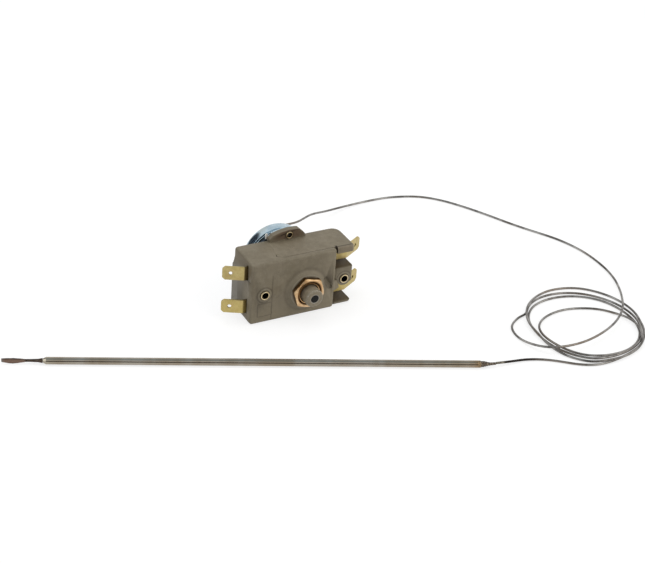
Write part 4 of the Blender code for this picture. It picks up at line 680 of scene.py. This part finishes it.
def capillary_finish(length):
    """Drawn capillary: grey, with darker and lighter stretches along it. Before the bulb it is
    blackened by the flame, and where the braze ran onto it, it is pale and specked."""
    finish = Finish("capillary_metal", (0.30, 0.29, 0.28), 0.32, 1.0)
    paint = finish.paint
    along = finish.part("X", finish.node("ShaderNodeUVMap", {"uv_map": "skin"}, output="UV"))
    fine = finish.noise(0.4)
    stretch = finish.noise_along(along * 75.0, 5.0, 0.65)
    paint(stretch.step(0.32, 0.68), (0.300, 0.285, 0.268), over=(0.105, 0.096, 0.088))
    warm = finish.noise_along(along * 22.0 + 7.0, 2.0, 0.5)
    paint(warm.step(0.50, 0.70) * 0.5, (0.210, 0.165, 0.125))
    burnt = along.step(length - 0.024, length - 0.013)
    paint(burnt * 0.95, (0.016, 0.011, 0.009))
    specks = finish.noise(0.35, 3.0, 0.6).step(0.46, 0.56) * along.step(length - 0.0045, length - 0.003)
    paint(specks * 0.8, (0.42, 0.38, 0.30))
    return finish.done(0.24 + fine * 0.14 + burnt * 0.2, fine, 0.003)


def braze_finish():
    """Brazed and burnt metal: dark brown scale, redder on the flattened filling tube, with golden
    and silver specks on the neck and a golden stain where it meets the bulb."""
    finish = Finish("braze", (0.21, 0.15, 0.08), 0.5, 1.0)
    x, y, z = finish.housing_axes()
    paint = finish.paint
    cloud = finish.noise(0.8, 4.0, 0.65)
    by_neck = x.step(0.0, 10.0)
    specks = finish.noise(0.35, 3.0, 0.6, move=(3, 1, 7)).step(0.55, 0.63) * by_neck
    grey = finish.noise(1.3, 3.0, 0.6, move=(8, 8, 2)).step(0.48, 0.62)
    paint(cloud.step(*CLOUD_EDGES), (0.110, 0.078, 0.056), over=(0.042, 0.029, 0.022))
    paint(grey * 0.35, (0.150, 0.135, 0.120))
    paint(specks * 0.8, (0.52, 0.47, 0.36))
    paint(x.fall(73.2, 73.7) * by_neck, (0.27, 0.19, 0.11))
    blade_middle = x.fall(-94.6, -93.4) * z.between(0.45, 2.15, 0.35)
    paint(blade_middle * 0.75, (0.215, 0.140, 0.105))
    tip = x.fall(-101.9, -101.2)
    paint(tip * 0.4, (0.20, 0.19, 0.18))
    return finish.done(0.34 + cloud * 0.26, cloud + specks, 0.02)


CAPILLARY_PATH = capillary_path()
CAPILLARY_LENGTH = float(np.linalg.norm(np.diff(CAPILLARY_PATH, axis=0), axis=1).sum())
FINISHES = {
    "moulded_body": moulded_finish(),
    "button_plastic": button_finish(),
    "dark_pin": satin_finish("dark_pin", (0.006, 0.006, 0.005), 0.60, size=0.8, change=0.4,
                             Specular_IOR_Level=0.2),
    "brass": brass_finish(),
    "rivet_brass": rivet_finish(),
    "terminal_brass": terminal_finish(),
    "zinc_steel": zinc_finish(),
    # Nearly white: the frame's flange beside the ear is a painted highlight of its lit edge
    "bright_edge": satin_finish("bright_edge", (0.86, 0.86, 0.82), 0.5, 0.2, change=0.1),
    "spring_steel": satin_finish("spring_steel", (0.45, 0.44, 0.42), 0.3, 1.0),
    "spring_bronze": satin_finish("spring_bronze", (0.60, 0.33, 0.16), 0.35, 1.0),
    "contact_silver": satin_finish("contact_silver", (0.75, 0.74, 0.72), 0.25, 1.0),
    "white_ceramic": satin_finish("white_ceramic", (0.72, 0.69, 0.62), 0.55, change=0.08),
    "capillary_metal": capillary_finish(CAPILLARY_LENGTH),
    "bulb_metal": bulb_finish(),
    "braze": braze_finish(),
}


def dress_nodes():
    """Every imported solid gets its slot's finish."""
    for part in frame["record"]["subparts"]:
        node = NODES[part["node"]]
        node.data.materials.clear()
        node.data.materials.append(FINISHES[part["material_slot"]])


def soften(width_mm, *nodes):
    """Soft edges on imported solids: their loose triangles are welded and their edges rounded."""
    for node in nodes:
        weld = node.modifiers.new("weld", "WELD")
        weld.merge_threshold = SAME_PLACE
        edge = node.modifiers.new("soft_edges", "BEVEL")
        edge.width = width_mm * MM
        edge.segments = 2
        edge.limit_method = "ANGLE"
        edge.angle_limit = math.radians(40)
        edge.harden_normals = True


def nut():
    """Hexagon with rounded corners and a turned chamfer: at each angle the rim lies at
    flat / cos(angle from the flat's middle), and past the chamfer's radius it drops back by the
    tangent of the chamfer's slope."""
    flat, bore, chamfer_radius, slope = 6.5, 5.12, 6.25, math.tan(math.radians(28))
    corner_cut, countersink, sides = 0.12, 0.45, 240
    angle = np.linspace(0, TURN, sides, endpoint=False)
    from_flat = np.mod(angle - math.radians(NUT_TURN_DEGREES) + TURN / 12, TURN / 6) - TURN / 12
    rim = np.minimum(flat / np.cos(from_flat), flat / math.cos(math.pi / 6) - corner_cut)
    rows = []

    def ring(radius, drop):
        rows.append((np.broadcast_to(radius, angle.shape), NUT_FACE_MM + np.broadcast_to(drop, angle.shape)))

    thick = NUT_BACK_MM - NUT_FACE_MM
    rim_drop = np.maximum(rim - chamfer_radius, 0) * slope
    ring(bore, thick - 0.35)
    ring(bore, countersink)
    for share in np.linspace(0, 1, 4):
        ring(bore + countersink * share, countersink * (1 - share) ** 1.3)
    ring(chamfer_radius - 0.15, 0.0)
    for share in np.linspace(0.25, 1, 4):
        radius = chamfer_radius + (rim - 0.08 - chamfer_radius) * share
        ring(radius, np.maximum(radius - chamfer_radius, 0) * slope)
    ring(rim - 0.02, rim_drop + 0.03)
    ring(rim, rim_drop + 0.10)
    ring(rim, thick - 0.12)
    ring(rim - 0.10, thick)
    ring(bore + 0.35, thick)
    radius, depth = np.array(rows).transpose(1, 0, 2)
    rings = rings_round(BUSH, radius, depth, sides)
    piece = surface("nut", rings, FINISHES["brass"], closed_rows=True, sharp=24.0)
    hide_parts("hex_nut")


def bush():
    """Threaded bush: its outside is a screw thread whose radius falls by a triangle wave of
    depth / pitch - angle / turn, fading out at the front chamfer."""
    radius, bore, rod_hole, flange_radius = 5.0, 4.25, 1.35, 6.5
    front, thread_end, flange, back, floor = -3.85, -1.0, 2.2, 3.2, 1.5
    pitch, depth, edge, sides = 0.75, 0.28, 0.1, 96
    angle = np.linspace(0, TURN, sides, endpoint=False)
    rows = [(bore, floor), (bore, front + 0.25), (bore + 0.12, front + 0.05), (bore + 0.3, front)]
    rows = [(np.full(sides, r), np.full(sides, y)) for r, y in rows]
    for y in np.linspace(front + 0.02, thread_end, 46):
        phase = np.mod(y / pitch - angle / TURN, 1.0)
        wave = 1 - np.abs(2 * phase - 1)
        rise = min(1.0, (y - front) / 0.5)
        rows.append((radius - 0.30 * (1 - rise) - depth * wave * rise, np.full(sides, y)))
    for r, y in ((radius, thread_end + edge), (radius, flange), (flange_radius - edge, flange),
                 (flange_radius, flange + edge), (flange_radius, back - edge), (flange_radius - edge, back),
                 (rod_hole, back), (rod_hole, floor)):
        rows.append((np.full(sides, r), np.full(sides, y)))
    rings = rings_round(BUSH, *np.array(rows).transpose(1, 0, 2), sides)
    piece = surface("bush", rings, FINISHES["brass"], closed_rows=True, sharp=35.0)
    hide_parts("threaded_bush")


def button():
    """Button cap with a soft edge and a slightly hollow face, its rod behind, and the dark pin."""
    face, pin_face, pin_back, hole_floor = -8.72, -8.62, -7.5, -7.3
    roof, skirt_end, rod_end = -5.5, -1.2, 4.1
    outside, inside, rod, hole, pin = 4.0, 3.3, 1.2, 1.80, 1.74
    turned("button", [
        (0.0, hole_floor, 0), (hole, hole_floor, 0), (hole, pin_face, 0.06), (2.1, face, 0.05),
        (3.0, face, 0.3), (outside, -8.50, 0.75), (outside, skirt_end, 0.1), (inside, skirt_end, 0.1),
        (inside, roof, 0.1),
        (rod, roof, 0.1), (rod, rod_end, 0.15), (0.0, rod_end, 0),
    ], BUSH, "button_plastic", "reset_button", "button", sharp=60.0)
    turned("pin", [
        (0.0, pin_face, 0), (pin, pin_face, 0.14), (pin, pin_back, 0.05), (0.0, pin_back, 0),
    ], BUSH, "dark_pin", "reset_pin", "button", sides=64)


def rivets():
    """Hollow rivets: a thin tube whose ends are rolled over into round rings."""
    for name, (x, z, front, back, scale) in RIVETS.items():
        hole, tube, head, head_height = RIVET_HOLE_MM * scale, 1.58 * scale, 1.97 * scale, 0.62
        top, bottom = front - head_height, back + head_height
        turned("rolled_" + name, [
            (hole, front + 0.4, 0), (hole, top + 0.20, 0.1), (hole + 0.10, top + 0.03, 0.1),
            ((hole + head) / 2, top, 0.1), (head - 0.09, top + 0.04, 0.08), (head, top + 0.24, 0.1),
            (head - 0.05, top + 0.45, 0.05), (tube, top + 0.48, 0), (tube, bottom - 0.48, 0),
            (head - 0.05, bottom - 0.45, 0.05), (head, bottom - 0.24, 0.1), ((hole + head) / 2, bottom, 0.15),
            (hole, bottom - 0.2, 0.1),
        ], (x, z), "brass", name, closed=True, sides=64, sharp=70.0, finish="rivet_brass")


def cup():
    """Drawn cup: a narrower front, two rolled beads with a groove between them, a straight wall, a
    round corner and a flat back."""
    radius, front, back, sheet, hole = 14.38, 22.4, 30.0, 0.8, 2.2
    inner = radius - 1.7
    turned("cup", [
        (inner, front, 0.08), (radius - 0.8, front, 0.15), (radius - 0.8, front + 1.25, 0.08),
        (radius - 0.04, front + 1.35, 0.12), (radius - 0.04, front + 1.65, 0.12),
        (radius - 0.45, front + 1.75, 0.08), (radius - 0.45, front + 2.45, 0.08),
        (radius, front + 2.55, 0.12), (radius, back, 1.6), (hole, back, 0.1), (hole, back - sheet, 0.1),
        (radius - sheet, back - sheet, 0.8), (radius - sheet, front + 3.0, 0.2),
        (inner, front + 2.2, 0.2),
    ], CUP, "zinc_steel", "diaphragm_cup", closed=True, sides=160, sharp=50.0)


def plate(name, outline, front, back, finish):
    """A flat sheet square to Y: its outline of (x, z) in millimetres, carried from front to back."""
    rings = np.array([[(x, y, z) for x, z in outline] for y in (front, back)])
    surface(name, in_frame(rings), FINISHES[finish], sharp=30.0)


def seam_flash():
    """Thin flash of moulding left over the seam on top, from its notch back past the ear: a profile
    of four corners carried along the seam, whose width is in proportion to the distance from the
    nearer end, between a quarter and the whole."""
    seam = soft_path([(x, y, BLOCK_TOP_MM) for x, y in (
        (12.95, 4.9), (13.5, 7.0), (14.2, 9.4), (14.25, 13.0), (14.25, 17.2))], 0.25)
    along = np.gradient(seam, axis=0)
    along /= np.linalg.norm(along, axis=1)[:, None]
    side = np.cross(along, [0.0, 0.0, 1.0])
    share = np.linspace(0, 1, len(seam))[:, None]
    width = 0.34 * np.clip(np.minimum(share, 1 - share) * 14, 0.25, 1)
    corners = ((-1, -0.04), (-0.8, 0.02), (0.8, 0.02), (1, -0.04))
    rings = np.stack([seam + side * width * out + np.array([0, 0, up]) for out, up in corners], axis=1)
    surface("seam_flash", in_frame(rings), FINISHES["moulded_body"], sharp=60.0)


def reshaped(name, source, slot, move, smooth=False):
    """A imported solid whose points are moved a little: move takes and gives their places across, deep
    and high in the housing's millimetres. Where it is smooth, its loose triangles are joined."""
    data = NODES[source].data.copy()
    if smooth:
        shape = bmesh.new()
        shape.from_mesh(data)
        bmesh.ops.remove_doubles(shape, verts=shape.verts, dist=SAME_PLACE)
        shape.to_mesh(data)
        shape.free()
    places = np.zeros(3 * len(data.vertices))
    data.vertices.foreach_get("co", places)
    moved = move(*((places.reshape(-1, 3) - HOUSING) / MM).T)
    data.vertices.foreach_set("co", in_frame(np.column_stack(moved)).ravel())
    data.update()
    data.materials.clear()
    data.materials.append(FINISHES[slot])
    piece = put(name, data)
    if smooth:
        data.shade_smooth()
        data.set_sharp_from_angle(angle=math.radians(35))
    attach(piece, "housing")
    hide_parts(source)
    return piece


def ease_left_end(x, y, z):
    """The pad on the left end starts at the wall instead of at a step, and stops lower down."""
    pad_face, pad_top_from, lower_by, pad_back, at_wall = -0.3, 20.0, 3.2, 15.0, -0.02
    z = np.where((x < pad_face) & (z > pad_top_from), z - lower_by, z)
    x = np.where((x < at_wall / 2) & (y < pad_back), at_wall, x)
    return x, y, z


def spring():
    """The button's spring: a copy of its imported solid with its loose triangles joined, on a mesh of its
    own.
    """
    piece = reshaped("spring", "button_spring", "spring_steel", lambda x, y, z: (x, y, z), smooth=True)
    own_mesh(piece)


def slope_ear(x, y, z):
    """The ear's top is lower, most at its left, by a drop read along its width."""
    ear_front, top_from, left_part, left_top_from = 14.0, 32.3, 18.0, 31.0
    on_top = (y > ear_front) & ((z > top_from) | ((x < left_part) & (z > left_top_from)))
    return x, y, z - np.interp(x, *EAR_DROP_MM) * on_top


def axis_rings(start, direction, rows, columns, section):
    """Rings square to a straight axis that lies level. section(s, angle) gives each point's offset
    across and up, in millimetres, as arrays for the distances s and the angles."""
    distance = np.linspace(rows[0], rows[1], rows[2])[:, None]
    angle = np.linspace(0, TURN, columns, endpoint=False)[None, :]
    across, up = np.broadcast_arrays(*section(distance, angle))
    ahead = np.array([*direction, 0.0])
    side = np.array([-direction[1], direction[0], 0.0])
    high = np.array([0.0, 0.0, 1.0])
    return in_frame(np.array(start) + (
        distance[..., None] * ahead + across[..., None] * side + up[..., None] * high))


def filling_tube():
    """Filling tube at the bulb's left end: a round neck that is pinched flat into a blade, widest a
    third from its tip, with a cut end. Its half width and half height are read along its length."""
    def section(s, angle):
        stations = (0.0, 0.7, 1.8, 4.4, 6.4, 7.8, 9.6, 11.6, 13.8, 15.6, 16.2)
        half_height = np.interp(
            s, stations, (1.05, 0.92, 0.70, 0.62, 0.58, 0.80, 1.05, 1.25, 1.12, 0.86, 0.78))
        half_width = np.interp(
            s, stations, (1.05, 0.92, 0.68, 0.58, 0.48, 0.40, 0.36, 0.35, 0.35, 0.35, 0.33))
        droop = np.interp(s, stations, (0.0, 0.0, 0.0, 0.0, 0.02, 0.08, 0.15, 0.22, 0.16, 0.0, 0.0))
        crumple = 0.03 * np.sin(2.3 * s + 2 * angle) * np.clip(s - 5, 0, 1)
        power = 1.0 - 0.25 * np.clip((s - 5) / 4, 0, 1)
        across = half_width * np.sign(np.cos(angle)) * np.abs(np.cos(angle)) ** power
        up = half_height * np.sign(np.sin(angle)) * np.abs(np.sin(angle)) ** power
        return across + crumple, up - droop
    rings = axis_rings(BULB_LEFT, -BULB_ALONG, (0.15, 16.1, 90), 40, section)
    piece = surface("filling_tube", rings, FINISHES["braze"], sharp=60.0)
    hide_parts("bulb_fill_tube")


def neck():
    """Brazed neck: a thin ring of braze over the bulb's taper, then a lumpy dome that runs out along
    the capillary. Its radius is read along its length, and two crossed sine waves give the lumps."""
    def section(s, angle):
        stations = (0.0, 1.05, 1.2, 1.5, 2.4, 3.4, 4.4, 5.6, 7.0, 7.6)
        radius = np.interp(s, stations, (1.47, 1.47, 1.38, 1.22, 1.18, 0.98, 0.74, 0.60, 0.56, 0.54))
        lump = np.sin(3 * angle + 4.1 * s) * np.sin(2.6 * s + 1.0) + 0.6 * np.sin(5 * angle - 7.3 * s)
        radius = radius * (1 + 0.085 * lump * np.clip(s - 1.1, 0, 1) * np.clip((7.6 - s) / 3, 0, 1))
        away = np.clip(s - BULB_TAPER_MM, 0, None)
        bend = 0.0117 * away ** 2
        return radius * np.cos(angle) + bend, radius * np.sin(angle)
    start = BULB_RIGHT - BULB_TAPER_MM * np.array([*BULB_ALONG, 0.0])
    rings = axis_rings(start, BULB_ALONG, (0.0, 7.6, 80), 40, section)
    piece = surface("neck", rings, FINISHES["braze"], sharp=70.0)
    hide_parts("bulb_neck")
    return piece


def capillary():
    """The whole capillary as one tube: a circle carried along the centreline."""
    path = CAPILLARY_PATH
    rings = tube_rings(path, CAPILLARY_RADIUS, CAPILLARY_SIDES)
    piece = surface("capillary", rings, FINISHES["capillary_metal"])
    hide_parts("capillary_lead", "capillary_coil", "capillary_tail")
    neck()


def lit_or_seen(nodes, lit, seen):
    """One shader that lights the object, and another for the rays that show the ground and the
    background as plain white: camera, glossy and transmission rays."""
    share = nodes.node("ShaderNodeLightPath", output="Is Camera Ray")
    for name in ("Is Glossy Ray", "Is Transmission Ray"):
        share = share.math("MAXIMUM", share, nodes.node("ShaderNodeLightPath", output=name))
    return nodes.node("ShaderNodeMixShader", {}, {0: share, 1: lit, 2: seen})


def studio():
    """White world for the camera, soft light for the object, and a pale ground with its shadow."""
    scene = bpy.context.scene
    scene.world = bpy.data.worlds.new("studio_world")
    world = Nodes(scene.world)
    soft, white = (world.node("ShaderNodeBackground", {}, {"Color": WHITE, "Strength": strength})
                   for strength in (WORLD_LIGHT, WORLD_SEEN))
    world.show(lit_or_seen(world, soft, white), "Background", "World Output")

    bpy.ops.mesh.primitive_plane_add(size=8.0, location=(0.0, 0.0, -GROUND_BELOW))
    ground = bpy.context.object
    ground.name = "ground"
    material = bpy.data.materials.new("ground")
    nodes = Nodes(material)
    matt, shadowed = (nodes.node("ShaderNodeBsdfDiffuse", {}, {"Color": (grey, grey, grey, 1.0)})
                      for grey in (GROUND_GREY, GROUND_SHADOWED))
    glow = nodes.node("ShaderNodeEmission", {}, {"Strength": GROUND_GLOW})
    seen = nodes.node("ShaderNodeAddShader", {}, {0: shadowed, 1: glow})
    nodes.show(lit_or_seen(nodes, matt, seen))
    ground.data.materials.append(material)

    aim = Vector((0.0, 0.0, 0.01))
    for name, place, size, radiance, colour in (
        ("key", (0.75, -0.85, 0.75), 1.2, 1.35, (1.0, 0.965, 0.90)),
        ("overhead", (0.0, 0.25, 1.2), 1.3, 1.2, (0.98, 0.99, 1.0)),
        ("left_fill", (-1.15, 0.1, 0.6), 1.0, 1.05, (0.88, 0.94, 1.0)),
    ):
        data = bpy.data.lights.new(name, "AREA")
        data.shape = "SQUARE"
        data.size = size
        data.energy = math.pi * size * size * radiance
        data.color = colour
        lamp = put(name, data)
        lamp.location = place
        lamp.rotation_euler = (aim - Vector(place)).to_track_quat("-Z", "Y").to_euler()
        lamp.visible_glossy = name != "overhead"
    card("card_in_front", (-0.58, -1.49, 0.30), 2.6, 0.60, (0.045, 0.034, 0.024))
    card("card_back_left", (-1.08, 1.54, 0.62), 1.2, 1.2, (0.035, 0.04, 0.05))
    card("card_overhead", (0.0, -0.15, 1.7), 2.4, 2.6, (0.50, 0.58, 0.64))


def card(name, place, width, height, colour):
    """A card beside the set. Only reflections show it, as the room shows in metal."""
    bpy.ops.mesh.primitive_plane_add(size=1.0, location=place)
    board = bpy.context.object
    board.name = name
    board.scale = (width, height, 1.0)
    board.rotation_euler = (Vector((0.0, 0.0, 0.05)) - Vector(place)).to_track_quat("Z", "Y").to_euler()
    board.visible_camera = False
    board.visible_diffuse = False
    board.visible_shadow = False
    board.visible_transmission = False
    material = bpy.data.materials.new(name)
    nodes = Nodes(material)
    nodes.show(nodes.node("ShaderNodeEmission", {}, {"Color": (*colour, 1.0)}))
    board.data.materials.append(material)


def camera():
    """The photograph's view."""
    position = Vector((-0.258171, -0.480480, 0.339880))
    right = Vector((0.88512, -0.46064, 0.06609))
    up = Vector((0.18882, 0.48529, 0.85372))
    data = bpy.data.cameras.new("camera")
    data.lens = 83.72
    data.sensor_width = 36.0
    data.clip_start = 0.01
    item = put("camera", data)
    backward = right.cross(up)
    item.matrix_world = Matrix((
        (right.x, up.x, backward.x, position.x), (right.y, up.y, backward.y, position.y),
        (right.z, up.z, backward.z, position.z), (0, 0, 0, 1)))
    bpy.context.scene.camera = item


camera()
studio()
dress_nodes()
soften(0.18, *(node for name, node in NODES.items() if name.startswith("terminal_")))
nut()
bush()
button()
rivets()
cup()
# The frame's flange beside the ear, nearly white as a painted highlight of its lit edge
plate("frame_flange", [(14.40, 28.9), (15.4, 28.9), (15.4, 31.2), (14.95, 31.4), (14.40, 31.2),
                       (14.25, 30.6)], 17.95, 18.35, "bright_edge")
plate("web_filling", [(39.25, 12.6), (40.35, 12.6), (40.35, 17.75), (39.25, 17.75)], 1.45, 2.5,
      "moulded_body")
spring()
seam_flash()
reshaped("front_shell", "front_housing", "moulded_body", ease_left_end, smooth=True)
reshaped("rear_shell", "rear_base", "moulded_body", slope_ear)
soften(0.10, reshaped("steel_frame", "mount_frame", "zinc_steel", slope_ear))
filling_tube()
capillary()
bpy.context.scene.view_settings.view_transform = "Standard"
